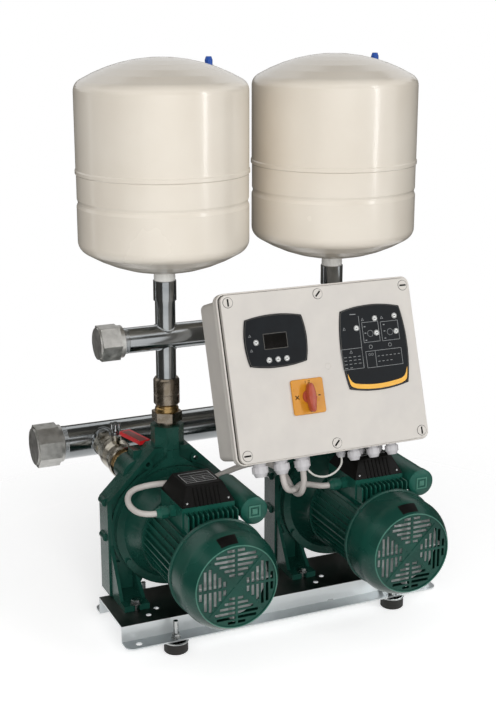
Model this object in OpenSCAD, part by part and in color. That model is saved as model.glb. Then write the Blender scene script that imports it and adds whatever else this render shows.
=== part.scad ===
// Twin-pump water booster set: two electric pumps side by side on a pressed steel base,
// a suction manifold behind them, a delivery manifold with two membrane tanks above
// them, and a tilted control panel hung from the delivery manifold.
// X runs along the manifolds, -Y is the front (fan ends), Z is up, floor at Z = 0.

/* [Layout] */
// Distance between the two pump axes
pump_pitch = 309; // [290:1:340]
// Height of the motor shafts above the base deck
shaft_rise = 115; // [110:1:125]
// Height of the delivery manifold axis above the shafts
delivery_rise = 325; // [315:1:345]
// Distance of the suction manifold axis behind the risers
suction_back = 213; // [205:1:240]
// Height of the suction ports above the shafts
port_rise = 87; // [84:1:90]
// Sideways offset of the suction ports from the pump axes
port_off = 54; // [48:1:58]

/* [Base] */
// Length of the base along X
base_len = 579; // [560:1:640]
// Depth of the flat deck
deck_w = 120; // [112:1:130]
// Width of the front and rear lips
lip_w = 29; // [26:1:36]
// Height of the deck surface above the floor
deck_h = 50; // [44:1:60]
// Sheet thickness
sheet_t = 2.5; // [2:0.5:4]
// Diameter of a rubber foot
foot_d = 40; // [34:1:46]
// Height of a foot with its bonded plate
foot_h = 20; // [16:1:24]
// Distance between the feet along X
foot_pitch = 406; // [390:1:420]

/* [Pump] */
// Width of the gabled casing
casing_w = 234; // [226:1:244]
// Depth of the gabled casing slab
casing_d = 44; // [40:1:50]
// Radius of the motor bracket's ring flange
ring_r = 106; // [102:1:110]
// Length of the bracket from casing to motor
bracket_len = 58; // [54:1:66]
// Radius of the impeller
impeller_r = 64; // [58:1:68]

/* [Motor] */
// Radius over the cooling fins
fin_r = 75; // [73:0.5:77]
// Length of the finned motor casing
motor_len = 142; // [136:1:160]
// Outer radius of the fan cover
cover_r = 82; // [80:1:86]
// Length of the fan cover beyond the end shield
cover_len = 66; // [60:1:74]
// Radius of the shaft between the bearings
shaft_r = 10; // [9:0.5:11]
// Radius of the start capacitor
cap_r = 22; // [19:0.5:24]

/* [Pipes] */
// Outer diameter of the suction manifold
suction_od = 60.3; // [56:0.1:64]
// Outer diameter of the delivery manifold
delivery_od = 42.4; // [40:0.1:46]
// Outer diameter of the risers
riser_od = 33.7; // [32:0.1:36]
// Wall of the pipes
pipe_t = 3.2; // [2.6:0.1:4]
// Overall length of the suction manifold with its end cap
suction_len = 666; // [650:1:720]
// Overall length of the delivery manifold with its end cap
delivery_len = 548; // [520:1:600]

/* [Tanks] */
// Tank diameter
tank_d = 279; // [260:1:286]
// Tank height without its neck
tank_h = 344; // [330:1:400]
// Wall of the tank
tank_t = 2.5; // [1.5:0.5:4]

/* [Panel] */
// Width of the lid
panel_w = 341; // [330:1:356]
// Height of the lid
panel_h = 268; // [262:1:276]
// Depth of the panel from lid face to back
panel_d = 100; // [94:1:106]
// Lean of the panel from the vertical, in degrees
panel_tilt = 18.7; // [14:0.1:21]
// Sideways place of the panel's middle
panel_x = 61; // [50:1:70]
// Button stroke
stroke = 0.6; // [0.3:0.1:0.8]

/* [Hidden] */
$fn = 72;

// Fits: snug for pieces that are pushed together, running for pieces that turn
snug = 0.1;
run = 0.05;
gap = 0.3;
// Heights
shaft_z = deck_h + shaft_rise;
delivery_z = shaft_z + delivery_rise;
suction_z = shaft_z + port_rise;
// Positions along the pump axis, the risers standing at 0
casing_front = -casing_d / 2;
casing_back = casing_d / 2;
wet_back = casing_back + 76;
ring_t = 14;
motor_front = casing_front - bracket_len;
motor_back = motor_front - motor_len;
shield_t = 10;
shield_back = motor_back - shield_t;
cover_front = shield_back - cover_len;
// Base
lip_z = foot_h + sheet_t;
deck_front = -138;
deck_back = deck_front + deck_w;
foot_in = 19;
foot_front = deck_front - foot_in;
foot_rear = deck_back + foot_in;
anchor_x = base_len / 2 - 24;
anchor_in = 15;
anchor_r = 5.5;
stud_r = 4;
// Pump feet
leg_w = 46;
pad_t = 10;
pad_front = casing_front - 70;
bolt_x = casing_w / 2 - 25;
bolt_y = pad_front + 8;
bolt_r = 4;
// Pump casing
wet_r = 98;
nose_r = min(68, sqrt(port_off * port_off + port_rise * port_rise) - 32);
cavity_r = 86;
eave = casing_w / 2 - 64;
ridge_half = 32;
ridge = eave + casing_w / 2 - ridge_half;
boss_top = 173;
port_face = casing_back + 28;
port_r = 27;
riser_r = riser_od / 2;
riser_bore = riser_r - pipe_t;
nipple_r = 21;
nipple_bore = 15;
// Motor
body_r = fin_r - 7;
body_in = body_r - 4;
bearing_r = 23.5;
bearing_w = 14;
seal_r = 17;
pump_shaft_r = shaft_r - 2;
rotor_r = 36;
air_gap = 0.6;
stack_front = motor_back + 34;
stack_back = motor_front - 32;
box_w = 90;
box_y0 = motor_front - 105;
box_y1 = motor_front - 8;
box_top = fin_r + 18;
cover_top = box_top + 30;
cap_x = box_w / 2 + cap_r + 5;
cap_z = box_top - 16;
gland_y = (box_y0 + box_y1) / 2 - 12;
gland_z = box_top - 16;
gland_len = 31;
gland_r = 10.5;
cable_r = 5;
thin_r = 1.75;
// Delivery column, measured up from the floor
boss_z = shaft_z + boss_top;
nut_z = boss_z + 7;
nut_h = 16;
valve_z = nut_z + nut_h;
seat_z = valve_z + 14;
socket_z = valve_z + 43;
check_h = 59;
lift = 8;
coupling_z = delivery_z + 63;
coupling_h = 33;
neck_r = riser_r - 0.35;
neck_h = 15;
tank_z = coupling_z + coupling_h + neck_h;
tank_r = tank_d / 2;
dish_low = 54;
dish_high = 52;
knuckle = 20;
// Suction valves, along the pump axis
ring_y = port_face + 14;
barrel_y = ring_y + 13;
barrel_len = 80;
ball_y = barrel_y + barrel_len / 2;
tail_y = barrel_y + barrel_len + 18;
ball_r = 19;
stem_r = 5;
stem_top = 55;
lever_len = 94;
lever_rest = 13;
// Manifold ends
cap_len = 50;
cap_small = 42;
cap_flat = 73;
thread_cut = 0.35;
thread_len = 25;
thread_in = 22;
// Panel, its origin at the middle of the lid's face
panel_y = -213 + panel_h / 2 * sin(panel_tilt);
panel_z = delivery_z - 162.2 + panel_h / 2 * cos(panel_tilt);
lid_t = 14;
wall = 3;
man_d = -panel_y * cos(panel_tilt) - (delivery_z - panel_z) * sin(panel_tilt);
man_v = -panel_y * sin(panel_tilt) + (delivery_z - panel_z) * cos(panel_tilt);
clamp_x = [-80, 40];
plate_t = 3;
big_glands = [-127, -89, -52];
front_glands = [44, 80, 115];
rear_glands = [-32, 35, 70, 105];
big_d = 32;
rear_d = 62;
big_len = 30;
small_len = 24;
switch_at = [129 - panel_w / 2, 93 - panel_h / 2];
small_pad = [85.5 - panel_w / 2, panel_h / 2 - 80];
large_pad = [panel_w / 2 - 80.5, panel_h / 2 - 109];
key_r = 4.5;
display_keys = [for (p = [[-35, 0], [-16, -30], [-0.5, -30], [15, -30]]) small_pad + p];
pump_keys = [for (p = [[-29, 34], [7, 47], [44, 48], [7, 23], [44, 22]]) large_pad + p];
pad_plate = 2.2;
screw_in = 12;
screw_at = [for (v = [-1, 1], u = [-1, 0, 1])
  [u * (panel_w / 2 - screw_in), v * (panel_h / 2 - screw_in)]];
board_w = panel_w - 80;
board_h = panel_h - 88;
// Whole object centred on its own box in Y
y_shift = -(cover_front + suction_back + cap_flat / 2) / 2;

function panel_point(u, d, v) = [panel_x + u,
  panel_y + d * cos(panel_tilt) + v * sin(panel_tilt),
  panel_z - d * sin(panel_tilt) + v * cos(panel_tilt)];

// Cable ends at the glands' mouths, and the routes between them; each route starts
// and ends a little way inside its gland
gland_in = [gland_len + box_w / 2, 0, 0];
left_in = [-pump_pitch / 2, gland_y, shaft_z + gland_z] - gland_in;
right_in = [pump_pitch / 2, gland_y, shaft_z + gland_z] - gland_in;
mouth = -panel_h / 2 + 4 - big_len;
left_out = panel_point(big_glands[2], big_d, mouth);
right_out = panel_point(big_glands[1], big_d, mouth);
sense_v = -panel_h / 2 + 8 - small_len;
sense_a = panel_point(rear_glands[0], rear_d, sense_v);
sense_b = panel_point(rear_glands[1], rear_d, sense_v);
up = [0, sin(panel_tilt), cos(panel_tilt)];
left_route = concat(
  [for (p = [[6, 0, 0], [-5, 0, 0], [-15.5, 2, 1], [-26, 7.5, 3], [-33, 17, 7], [-35.5, 28.5, 12],
    [-33, 40, 17], [-26, 49.5, 21], [-16, 55.5, 23.5], [-4.5, 58.5, 24.5], [8, 60, 25],
    [22, 61.5, 24.5], [38, 63.5, 23], [57, 66, 20], [79, 69, 16], [103, 71, 14], [127, 73, 15]])
    left_in + p],
  [for (p = [[-88, 117, -30], [-66, 119, -25.5], [-45, 118, -22], [-27, 112, -20.5], [-14, 102, -21],
    [-5.5, 89, -24], [-1, 75, -28.5], [0, 61, -34.5], [0, 47.5, -41.5], [0, 34.5, -46.5],
    [0, 22.5, -47.5], [0, 12, -44], [0, 4, -37], [0, -1.5, -27], [0, -3.5, -16]]) left_out + p],
  [left_out - 6 * up, left_out + 6 * up]);
right_route = concat(
  [for (p = [[6, 0, 0], [-5, 0, 0], [-16, -0.5, 1.5], [-27, -2.5, 5], [-38, -6.5, 9.5],
    [-49, -12, 13.5]]) right_in + p],
  [for (p = [[46, 26, -34], [35, 17, -34.5], [24, 9, -34], [14, 2.5, -31], [6.5, -2, -24.5],
    [2, -3.5, -15.5]]) right_out + p],
  [right_out - 5 * up, right_out + 6 * up]);
sense_half = [[1.5, -3, -9], [6, -5, -15], [13, -6, -21], [23, -7, -25]];
sense_route = concat(
  [sense_a + 5 * up, sense_a - 2.5 * up],
  [for (p = sense_half) sense_a + p],
  [(sense_a + sense_b) / 2 + [0, -7, -26.5]],
  [for (i = [3:-1:0]) sense_b + [-sense_half[i][0], sense_half[i][1], sense_half[i][2]]],
  [sense_b - 2.5 * up, sense_b + 5 * up]);

// Points of an arc, counter-clockwise from a0 to a1
function arc(c, r, a0, a1, n) =
  [for (i = [0:n]) let (a = a0 + (a1 - a0) * i / n) [c[0] + r * cos(a), c[1] + r * sin(a)]];

// Crown radius of a dished end of depth h with knuckle k on a shell of radius r
function crown(r, h, k) = ((r - k) * (r - k) + h * h - k * k) / (2 * (h - k));

// Outline of half a dished end, from the shell to the axis
function dished(r, h, k) = let (cr = crown(r, h, k), a = acos((r - k) / (cr - k)))
  concat(arc([r - k, 0], k, 0, a, 6), arc([0, h - cr], cr, a + (90 - a) / 6, 90, 5));

// Cable helpers: smooth a route, frame it and sweep a round section along it
function unit(v) = v / norm(v);
function spline(p, n) = [for (i = [0:len(p) - 2]) for (k = [0:(i == len(p) - 2 ? n : n - 1)])
  let (a = p[max(i - 1, 0)], b = p[i], c = p[i + 1], d = p[min(i + 2, len(p) - 1)], t = k / n)
  0.5 * ((2 * b) + (c - a) * t + (2 * a - 5 * b + 4 * c - d) * t * t
    + (3 * b - a - 3 * c + d) * t * t * t)];
function tangents(p) = [for (i = [0:len(p) - 1])
  unit(p[min(i + 1, len(p) - 1)] - p[max(i - 1, 0)])];
function normals(t, i = 0, n = [0.3, 0.5, 0.8]) = i == len(t) ? [] :
  let (u = unit(n - (n * t[i]) * t[i])) concat([u], normals(t, i + 1, u));

module tube(route, r, sides, steps) {
  p = spline(route, steps);
  t = tangents(p);
  n = normals(t);
  last = (len(p) - 1) * sides;
  points = [for (i = [0:len(p) - 1]) for (k = [0:sides - 1]) let (a = 360 * k / sides)
    p[i] + r * (cos(a) * n[i] + sin(a) * cross(t[i], n[i]))];
  walls = [for (i = [0:len(p) - 2]) for (k = [0:sides - 1]) let (m = (k + 1) % sides)
    [i * sides + k, (i + 1) * sides + k, (i + 1) * sides + m, i * sides + m]];
  polyhedron(points, concat([[for (k = [0:sides - 1]) k]], walls,
    [[for (k = [sides - 1:-1:0]) last + k]]), convexity = 8);
}

// Placing helpers
module placed() translate([0, y_shift, 0]) children();
module pump(side) translate([side * pump_pitch / 2, 0, shaft_z]) children();
module pumps() for (side = [-1, 1]) pump(side) children();
module risers() for (side = [-1, 1]) translate([side * pump_pitch / 2, 0, 0]) children();
module port() translate([-port_off, 0, port_rise]) children();
module at_panel() translate([panel_x, panel_y, panel_z]) rotate([-panel_tilt, 0, 0]) children();
module rod_x(x0, x1, r, sides = $fn) translate([x0, 0, 0]) rotate([0, 90, 0])
  cylinder(h = x1 - x0, r = r, $fn = sides);
module rod_y(y0, y1, r, sides = $fn) translate([0, y0, 0]) rotate([-90, 0, 0])
  cylinder(h = y1 - y0, r = r, $fn = sides);
module cone_y(y0, y1, r0, r1) translate([0, y0, 0]) rotate([-90, 0, 0])
  cylinder(h = y1 - y0, r1 = r0, r2 = r1);
module slab_y(y0, y1) translate([0, y1, 0]) rotate([90, 0, 0])
  linear_extrude(height = y1 - y0) children();
module slab_x(x0, x1) translate([x0, 0, 0]) rotate([90, 0, 90])
  linear_extrude(height = x1 - x0) children();
module turned_y() rotate([-90, 0, 0]) rotate_extrude() children();
module box(x0, x1, y0, y1, z0, z1) translate([x0, y0, z0]) cube([x1 - x0, y1 - y0, z1 - z0]);

// A rectangle about the origin with round corners
module round_rect(w, h, r) {
  square([w - 2 * r, h], center = true);
  square([w, h - 2 * r], center = true);
  for (x = [-1, 1], y = [-1, 1]) translate([x * (w / 2 - r), y * (h / 2 - r)]) circle(r);
}

// Base: one sheet folded down at the front and rear, with outward lips
module base_plate() placed() color("#c9ccd0") difference() {
  intersection() {
    slab_x(-base_len / 2, base_len / 2) polygon([
      [deck_front - lip_w, foot_h], [deck_front - lip_w, lip_z], [deck_front, lip_z],
      [deck_front, deck_h], [deck_back, deck_h], [deck_back, lip_z],
      [deck_back + lip_w, lip_z], [deck_back + lip_w, foot_h],
      [deck_back - sheet_t, foot_h], [deck_back - sheet_t, deck_h - sheet_t],
      [deck_front + sheet_t, deck_h - sheet_t], [deck_front + sheet_t, foot_h]]);
    translate([0, (deck_front + deck_back) / 2, 0]) linear_extrude(height = 2 * deck_h)
      round_rect(base_len, deck_w + 2 * lip_w, 14);
  }
  for (x = [-1, 1], y = [foot_front, foot_rear])
    translate([x * foot_pitch / 2, y, 0]) cylinder(h = lip_z + 1, r = stud_r + gap);
  for (x = [-1, 1], y = [deck_front - anchor_in, deck_back + anchor_in])
    translate([x * anchor_x, y, 0]) cylinder(h = lip_z + 1, r = anchor_r);
  risers() for (x = [-1, 1]) {
    translate([x * bolt_x, bolt_y, lip_z + 1]) cylinder(h = deck_h, r = bolt_r + gap);
    // spare holes for other pump sizes
    for (p = [[14, 4], [12, -30], [32, -12]])
      translate([x * (bolt_x - p[0]), bolt_y + p[1], lip_z + 1]) cylinder(h = deck_h, r = 4.5);
  }
}

// Rubber feet with a slight barrel form
module rubber_feet() placed() color("#1b1b1d")
  for (x = [-1, 1], y = [foot_front, foot_rear]) translate([x * foot_pitch / 2, y, 0])
    rotate_extrude() polygon([[0, 0], [foot_d / 2 - 1.5, 0], [foot_d / 2, 1.5],
      [foot_d / 2, foot_h - 3.5], [foot_d / 2 - 1.5, foot_h - 2], [0, foot_h - 2]]);

// Foot studs with their bonded plates and nuts, pump foot bolts and bracket bolts
module fasteners() placed() color("#d8d9da") {
  for (x = [-1, 1], y = [foot_front, foot_rear]) translate([x * foot_pitch / 2, y, 0]) {
    translate([0, 0, foot_h - 2]) cylinder(h = 2, r = foot_d / 2 - 1.5);
    translate([0, 0, foot_h - 1]) cylinder(h = 34, r = stud_r);
    translate([0, 0, lip_z]) cylinder(h = 1.6, r = 8);
    translate([0, 0, lip_z + 1]) cylinder(h = 7, r = 7.5, $fn = 6);
  }
  risers() for (x = [-1, 1]) translate([x * bolt_x, bolt_y, 0]) {
    translate([0, 0, deck_h + pad_t]) cylinder(h = 2, r = 9.5);
    translate([0, 0, deck_h + pad_t + 1]) cylinder(h = 6.5, r = 7.5, $fn = 6);
    translate([0, 0, deck_h - sheet_t - 8]) cylinder(h = pad_t + 12, r = bolt_r);
    translate([0, 0, deck_h - sheet_t - 6.5]) cylinder(h = 6.5, r = 7.5, $fn = 6);
  }
  pumps() for (a = [30:60:330]) rotate([0, a, 0]) translate([ring_r - 6, 0, 0]) {
    rod_y(casing_front - ring_t - 5, casing_front - ring_t, 5.2, 6);
    rod_y(casing_front - ring_t - 1, casing_front + 9, 3);
  }
}

// Outline of the gabled casing with its two legs
module gable() {
  w = casing_w / 2;
  polygon([[-w, -shaft_rise], [-w, eave], [-ridge_half, ridge], [ridge_half, ridge],
    [w, eave], [w, -shaft_rise], [w - leg_w, -shaft_rise], [w - leg_w - 14, -ring_r + 14],
    [-w + leg_w + 14, -ring_r + 14], [-w + leg_w, -shaft_rise]]);
}

// Raised web between the ring flange and the delivery boss
module web() polygon([[-64, 84], [-11, ridge - 16], [-11, ridge - 4], [11, ridge - 4],
  [11, ridge - 16], [64, 84]]);

// Shallow recess in the front of the gable, inside its rim and outside the web
module front_recess() slab_y(casing_front - 1, casing_front + 6) difference() {
  w = casing_w / 2;
  t = 8;
  polygon([[-w + t, -shaft_rise + 60], [-w + t, eave - 0.4 * t], [-ridge_half + 3, ridge - t],
    [ridge_half - 3, ridge - t], [w - t, eave - 0.4 * t], [w - t, -shaft_rise + 60]]);
  circle(ring_r + 5);
  web();
  for (s = [-1, 1]) translate([s * 43, ridge - 26]) circle(9);
}

// Cored pockets in the rear of the gable, clear of the passages
module pockets() difference() {
  slab_y(casing_front + 12, casing_back + 1) difference() {
    w = casing_w / 2;
    t = 9;
    polygon([[-w + t, -shaft_rise + t], [-w + t, eave - 0.4 * t], [-ridge_half, ridge - t],
      [ridge_half, ridge - t], [w - t, eave - 0.4 * t], [w - t, -shaft_rise + t],
      [w - leg_w + t, -shaft_rise + t], [w - leg_w - 8, -ring_r + 14 + t],
      [-w + leg_w + 8, -ring_r + 14 + t], [-w + leg_w - t, -shaft_rise + t]]);
    circle(wet_r - 1);
  }
  port() rod_y(casing_front, port_face, port_r);
  cylinder(h = boss_top, r = 24);
  box(-port_off - 4, 0, casing_front, port_face, 60, ridge - 10);
}

// Cast pump casing: gabled slab, round wet end, delivery boss, suction port and feet
module casing() difference() {
  union() {
    slab_y(casing_front, casing_back) gable();
    slab_y(casing_front - 6, casing_front + 1) difference() {
      web();
      circle(ring_r + gap);
    }
    turned_y() polygon(concat([[0, casing_back - 1], [wet_r, casing_back - 1]],
      arc([wet_r - 16, casing_back + 5], 16, 0, 78, 5),
      [[nose_r + 4, casing_back + 26], [nose_r, casing_back + 31]],
      arc([nose_r - 18, wet_back - 18], 16, 0, 90, 5), [[0, wet_back - 2]]));
    translate([0, 0, ridge - 10]) rotate([0, 0, 22.5])
      cylinder(h = boss_top - ridge + 10, r = 26 / cos(22.5), $fn = 8);
    port() rod_y(0, port_face, port_r);
    box(-port_off - 4, 0, casing_back - 12, casing_back + 16, 60, ridge - 10);
    for (s = [-1, 1]) {
      // foot pads with a rib on each side
      box(s * bolt_x - 22, s * bolt_x + 22, pad_front, casing_front + 1, -shaft_rise,
        -shaft_rise + pad_t);
      difference() {
        for (k = [-1, 1]) translate([s * (bolt_x + 19 * k), 0, 0]) slab_x(-3, 3)
          polygon([[pad_front + 22, -shaft_rise], [casing_front + 1, -shaft_rise],
            [casing_front + 1, -shaft_rise + (k > 0 ? 92 : 58)],
            [pad_front + 22, -shaft_rise + pad_t]]);
        rod_y(pad_front, casing_front, ring_r + gap);
      }
      // side lugs
      for (z = [-12, eave - 2]) translate([s * (casing_w / 2 - 1), 0, z])
        rod_y(-10, 10, 7);
    }
  }
  pockets();
  front_recess();
  // chamber
  turned_y() polygon([[0, casing_front - 1], [cavity_r, casing_front - 1],
    [cavity_r, casing_back + 4], [cavity_r - 8, casing_back + 12], [nose_r - 8, casing_back + 18],
    [nose_r - 11, wet_back - 24], [nose_r - 26, wet_back - 12], [0, wet_back - 12]]);
  // delivery passage and its threaded seat
  translate([0, 0, 60]) cylinder(h = boss_top, r = riser_bore);
  translate([0, 0, boss_top - 18]) cylinder(h = 20, r = riser_r + snug);
  // suction passage, seat and the cross drilling into the chamber
  port() rod_y(casing_back - 14, port_face + 1, nipple_bore);
  port() rod_y(port_face - 18, port_face + 1, nipple_r + snug);
  port() translate([0, casing_back - 2, 0]) rotate([0, 90 + atan2(port_rise, port_off), 0])
    cylinder(h = 34, r = 12);
  // slots for the foot bolts and blind holes in the gable
  for (s = [-1, 1]) {
    box(s * bolt_x - bolt_r - 0.7, s * bolt_x + bolt_r + 0.7, pad_front - 1, bolt_y + bolt_r + 0.7,
      -shaft_rise - 1, -shaft_rise + pad_t + 1);
    translate([s * 43, 0, ridge - 26]) rod_y(casing_front - 1, casing_front + 14, 4);
  }
  // threaded holes for the bracket bolts
  for (a = [30:60:330]) rotate([0, a, 0]) translate([ring_r - 6, 0, 0])
    rod_y(casing_front - 1, casing_front + 10, 3 + snug);
}

module pump_casings() placed() color("#12503f") pumps() casing();

// Bracket: ring flange against the casing, cone towards the motor, bearing seat
module motor_brackets() placed() color("#12503f") pumps() difference() {
  turned_y() polygon([[pump_shaft_r + 0.5, casing_front + 8], [cavity_r - snug, casing_front + 8],
    [cavity_r - snug, casing_front], [ring_r, casing_front], [ring_r, casing_front - ring_t],
    [ring_r - 13, casing_front - ring_t], [fin_r + 2, motor_front + 8], [fin_r + 2, motor_front],
    [body_in - 0.2, motor_front], [body_in - 0.2, motor_front - 5], [bearing_r + snug, motor_front - 5],
    [bearing_r + snug, motor_front + bearing_w - 4], [shaft_r + 1, motor_front + bearing_w - 4],
    [shaft_r + 1, motor_front + bearing_w + 3], [bearing_r + 6, motor_front + bearing_w + 3],
    [bearing_r + 6, motor_front + 6], [body_in - 2, motor_front + 6], [fin_r - 8, motor_front + 10],
    [ring_r - 24, casing_front - ring_t + 3], [ring_r - 24, casing_front - 2],
    [seal_r + 6, casing_front - 2], [seal_r + 6, casing_front - 6],
    [pump_shaft_r + 0.5, casing_front - 6]]);
  // seat of the shaft seal
  rod_y(casing_front, casing_front + 9, seal_r + snug);
  // drain window
  box(-22, 22, motor_front + bearing_w + 6, casing_front - ring_t - 2, -120, -50);
  for (a = [30:60:330]) rotate([0, a, 0]) translate([ring_r - 6, 0, 0])
    rod_y(casing_front - ring_t - 8, casing_front + 1, 3 + snug);
}

// Ejector: venturi tube on the shaft line, standing on the chamber's rear wall
module ejectors() placed() color("#8f8a7a") pumps() turned_y() polygon([
  [14, casing_back - 2], [impeller_r + 12, casing_back - 2], [impeller_r + 12, casing_back + 2],
  [28, casing_back + 7], [20, casing_back + 30], [22, wet_back - 22], [34, wet_back - 12],
  [16, wet_back - 12], [9, wet_back - 30], [9, casing_back + 24], [14, casing_back + 6]]);

// Mechanical seal seat in the bracket
module shaft_seals() placed() color("#3a3a3c") pumps() difference() {
  union() {
    rod_y(casing_front, casing_front + 11, seal_r);
    rod_y(casing_front + 10, casing_front + 14, seal_r - 4);
  }
  rod_y(casing_front - 1, casing_front + 15, pump_shaft_r + run);
}

// Finned motor casing
module motor_casings() placed() color("#12503f") pumps() difference() {
  slab_y(motor_back, motor_front) difference() {
    union() {
      circle(body_r);
      for (a = [0:9:351]) rotate(a) translate([body_r - 2, -1.2]) square([fin_r - body_r + 2, 2.4]);
    }
    circle(body_in);
  }
  difference() {
    box(-box_w / 2 - 1, box_w / 2 + 1, box_y0 - 1, box_y1 + 1, 0, fin_r + 5);
    rod_y(motor_back - 1, motor_front + 1, body_r);
  }
  rod_y(motor_front - 5.2, motor_front + 1, body_in);
}

// Stator stack with its winding heads
module stators() placed() color("#8c6a3f") pumps() turned_y() polygon([
  [rotor_r + air_gap, stack_front], [42, stack_front], [45, stack_front - 14],
  [58, stack_front - 14], [60, stack_front], [body_in - run, stack_front],
  [body_in - run, stack_back], [60, stack_back], [58, stack_back + 14], [45, stack_back + 14],
  [42, stack_back], [rotor_r + air_gap, stack_back]]);

// Ball bearings, each drawn as one ring with shield grooves
module bearings() placed() color("#d2d4d6") pumps() for (y = [motor_front + bearing_w - 18,
  shield_back + 1]) translate([0, y, 0]) turned_y() polygon([
    [shaft_r + run, 0], [14, 0], [14.5, 1], [19.5, 1], [20, 0], [bearing_r, 0],
    [bearing_r, bearing_w], [20, bearing_w], [19.5, bearing_w - 1], [14.5, bearing_w - 1],
    [14, bearing_w], [shaft_r + run, bearing_w]]);

// Rear end shield with four ears that carry the fan cover
module end_shields() placed() color("#12503f") pumps() difference() {
  union() {
    turned_y() polygon([[shaft_r + 1, shield_back - 3], [bearing_r + 6, shield_back - 3],
      [bearing_r + 7, shield_back + 3], [body_r, shield_back + 4], [body_r, motor_back],
      [body_in - 0.2, motor_back], [body_in - 0.2, motor_back + 4], [bearing_r + 8, motor_back + 4],
      [bearing_r + 6, shield_back + bearing_w + 1], [shaft_r + 1, shield_back + bearing_w + 1]]);
    intersection() {
      slab_y(shield_back, motor_back) difference() {
        circle(cover_r - 2 - run);
        circle(body_r - 6);
      }
      for (a = [45, 135]) rotate([0, a, 0]) box(-100, 100, shield_back, motor_back, -9, 9);
    }
  }
  rod_y(shield_back + 1, shield_back + bearing_w + 2, bearing_r + snug);
}

// Slots of one quarter of the fan grille
module grille_quarter() for (d = [17:8:57], s = [-1, 1]) {
  far = min(d - 5, sqrt(64 * 64 - (d + 5) * (d + 5)) - 1);
  translate([s > 0 ? 2 : -far, d]) square([far - 2, 5]);
}

// Fan cover: drawn cup with a rolled rim, a round shoulder and a slotted grille
module fan_covers() placed() color("#12503f") pumps() {
  r = 14;
  turned_y() polygon(concat(
    [[66, cover_front]], arc([cover_r - r, cover_front + r], r, 270, 360, 7),
    [[cover_r, shield_back + 4], [cover_r + 2.5, shield_back + 5], [cover_r + 2.5, shield_back + 9],
      [cover_r - 2, shield_back + 9]],
    [for (i = [7:-1:0]) let (a = 270 + 90 * i / 7)
      [cover_r - r + (r - 2) * cos(a), cover_front + r + (r - 2) * sin(a)]],
    [[67, cover_front + 2], [67, cover_front + 3.5], [64, cover_front + 3.5], [64, cover_front + 1.5],
      [66, cover_front + 1.5]]));
  slab_y(cover_front + 1.5, cover_front + 3.5) difference() {
    circle(66);
    for (a = [0:90:270]) rotate(a) grille_quarter();
  }
  // raised cross between the sectors
  for (a = [45, 135]) rotate([0, a, 0]) box(-62, 62, cover_front + 0.5, cover_front + 2, -2.5, 2.5);
}

// Terminal box base on the motor, with the cradle of the capacitor
module terminal_boxes() placed() color("#12503f") pumps() difference() {
  union() {
    box(-box_w / 2, box_w / 2, box_y0, box_y1, 40, box_top);
    box(box_w / 2 - 1, cap_x, box_y0 + 20, box_y0 + 32, cap_z - 9, cap_z + 9);
    box(box_w / 2 - 1, cap_x, box_y1 - 32, box_y1 - 20, cap_z - 9, cap_z + 9);
  }
  rod_y(box_y0 - 1, box_y1 + 1, body_r);
  translate([cap_x, 0, cap_z]) rod_y(box_y0 - 1, box_y1 + 1, cap_r + run);
  box(-box_w / 2 + 6, box_w / 2 - 6, box_y0 + 6, box_y1 - 6, box_top - 16, box_top + 1);
  translate([0, gland_y, gland_z]) rod_x(-box_w / 2 - 1, -box_w / 2 + 8, gland_r * 0.72 + snug);
}

// Terminal cover: tapered lid with ribs down its front
module cover_taper(grow) polygon([[box_y0 - grow, box_top], [box_y1, box_top],
  [box_y1 - 16, cover_top], [box_y0 + 17 - grow, cover_top]]);

module terminal_covers() placed() color("#17181a") pumps() difference() {
  union() {
    intersection() {
      slab_x(-box_w / 2 - 1, box_w / 2 + 1) cover_taper(0);
      slab_y(box_y0 - 5, box_y1 + 5) polygon([[-box_w / 2 - 0.5, box_top], [box_w / 2 + 0.5, box_top],
        [31, cover_top], [-31, cover_top]]);
    }
    for (x = [-21:7:21]) intersection() {
      slab_x(x - 1, x + 1) cover_taper(1.5);
      box(x - 2, x + 2, box_y0 - 5, box_y0 + 30, box_top, cover_top - 4);
    }
  }
  box(-28, 28, box_y0 + 20, box_y1 - 20, box_top - 1, cover_top - 3);
}

// Start capacitor in its round can, with a square emboss on the front cap
module capacitors() placed() color("#12503f") pumps() translate([cap_x, 0, cap_z]) {
  rod_y(box_y0 - 6, box_y1 + 4, cap_r);
  rod_y(box_y0 - 16, box_y0 - 5, cap_r + 1);
  cone_y(box_y0 - 18, box_y0 - 16, cap_r - 2, cap_r + 1);
  slab_y(box_y0 - 19, box_y0 - 17) difference() {
    square(20, center = true);
    square(15, center = true);
  }
  slab_y(box_y0 - 19, box_y0 - 17) square(9, center = true);
}

// Cable gland: threaded neck, hexagon and domed nut, pointing along +Z from 0
module gland(r, len, bore) difference() {
  union() {
    translate([0, 0, -4]) cylinder(h = 6, r = r * 0.72);
    cylinder(h = len * 0.3, r = r, $fn = 6);
    translate([0, 0, len * 0.3]) cylinder(h = len * 0.12, r = r * 0.8);
    translate([0, 0, len * 0.42]) cylinder(h = len * 0.36, r = r * 1.02, $fn = 12);
    translate([0, 0, len * 0.78]) cylinder(h = len * 0.22, r1 = r * 0.92, r2 = r * 0.66);
  }
  translate([0, 0, len - 10]) cylinder(h = 12, r = bore);
}

module motor_glands() placed() color("#12503f") pumps()
  translate([-box_w / 2, gland_y, gland_z]) rotate([0, -90, 0]) gland(gland_r, gland_len, cable_r + snug);

// Rotating parts of one pump
module shaft() turned_y() polygon([[0, casing_back - 2], [pump_shaft_r, casing_back - 2],
  [pump_shaft_r, motor_front + bearing_w + 1], [shaft_r, motor_front + bearing_w + 1],
  [shaft_r, stack_back], [rotor_r, stack_back], [rotor_r, stack_front], [shaft_r, stack_front],
  [shaft_r, shield_back - 4], [pump_shaft_r, shield_back - 4], [pump_shaft_r, cover_front + 14],
  [0, cover_front + 14]]);

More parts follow.
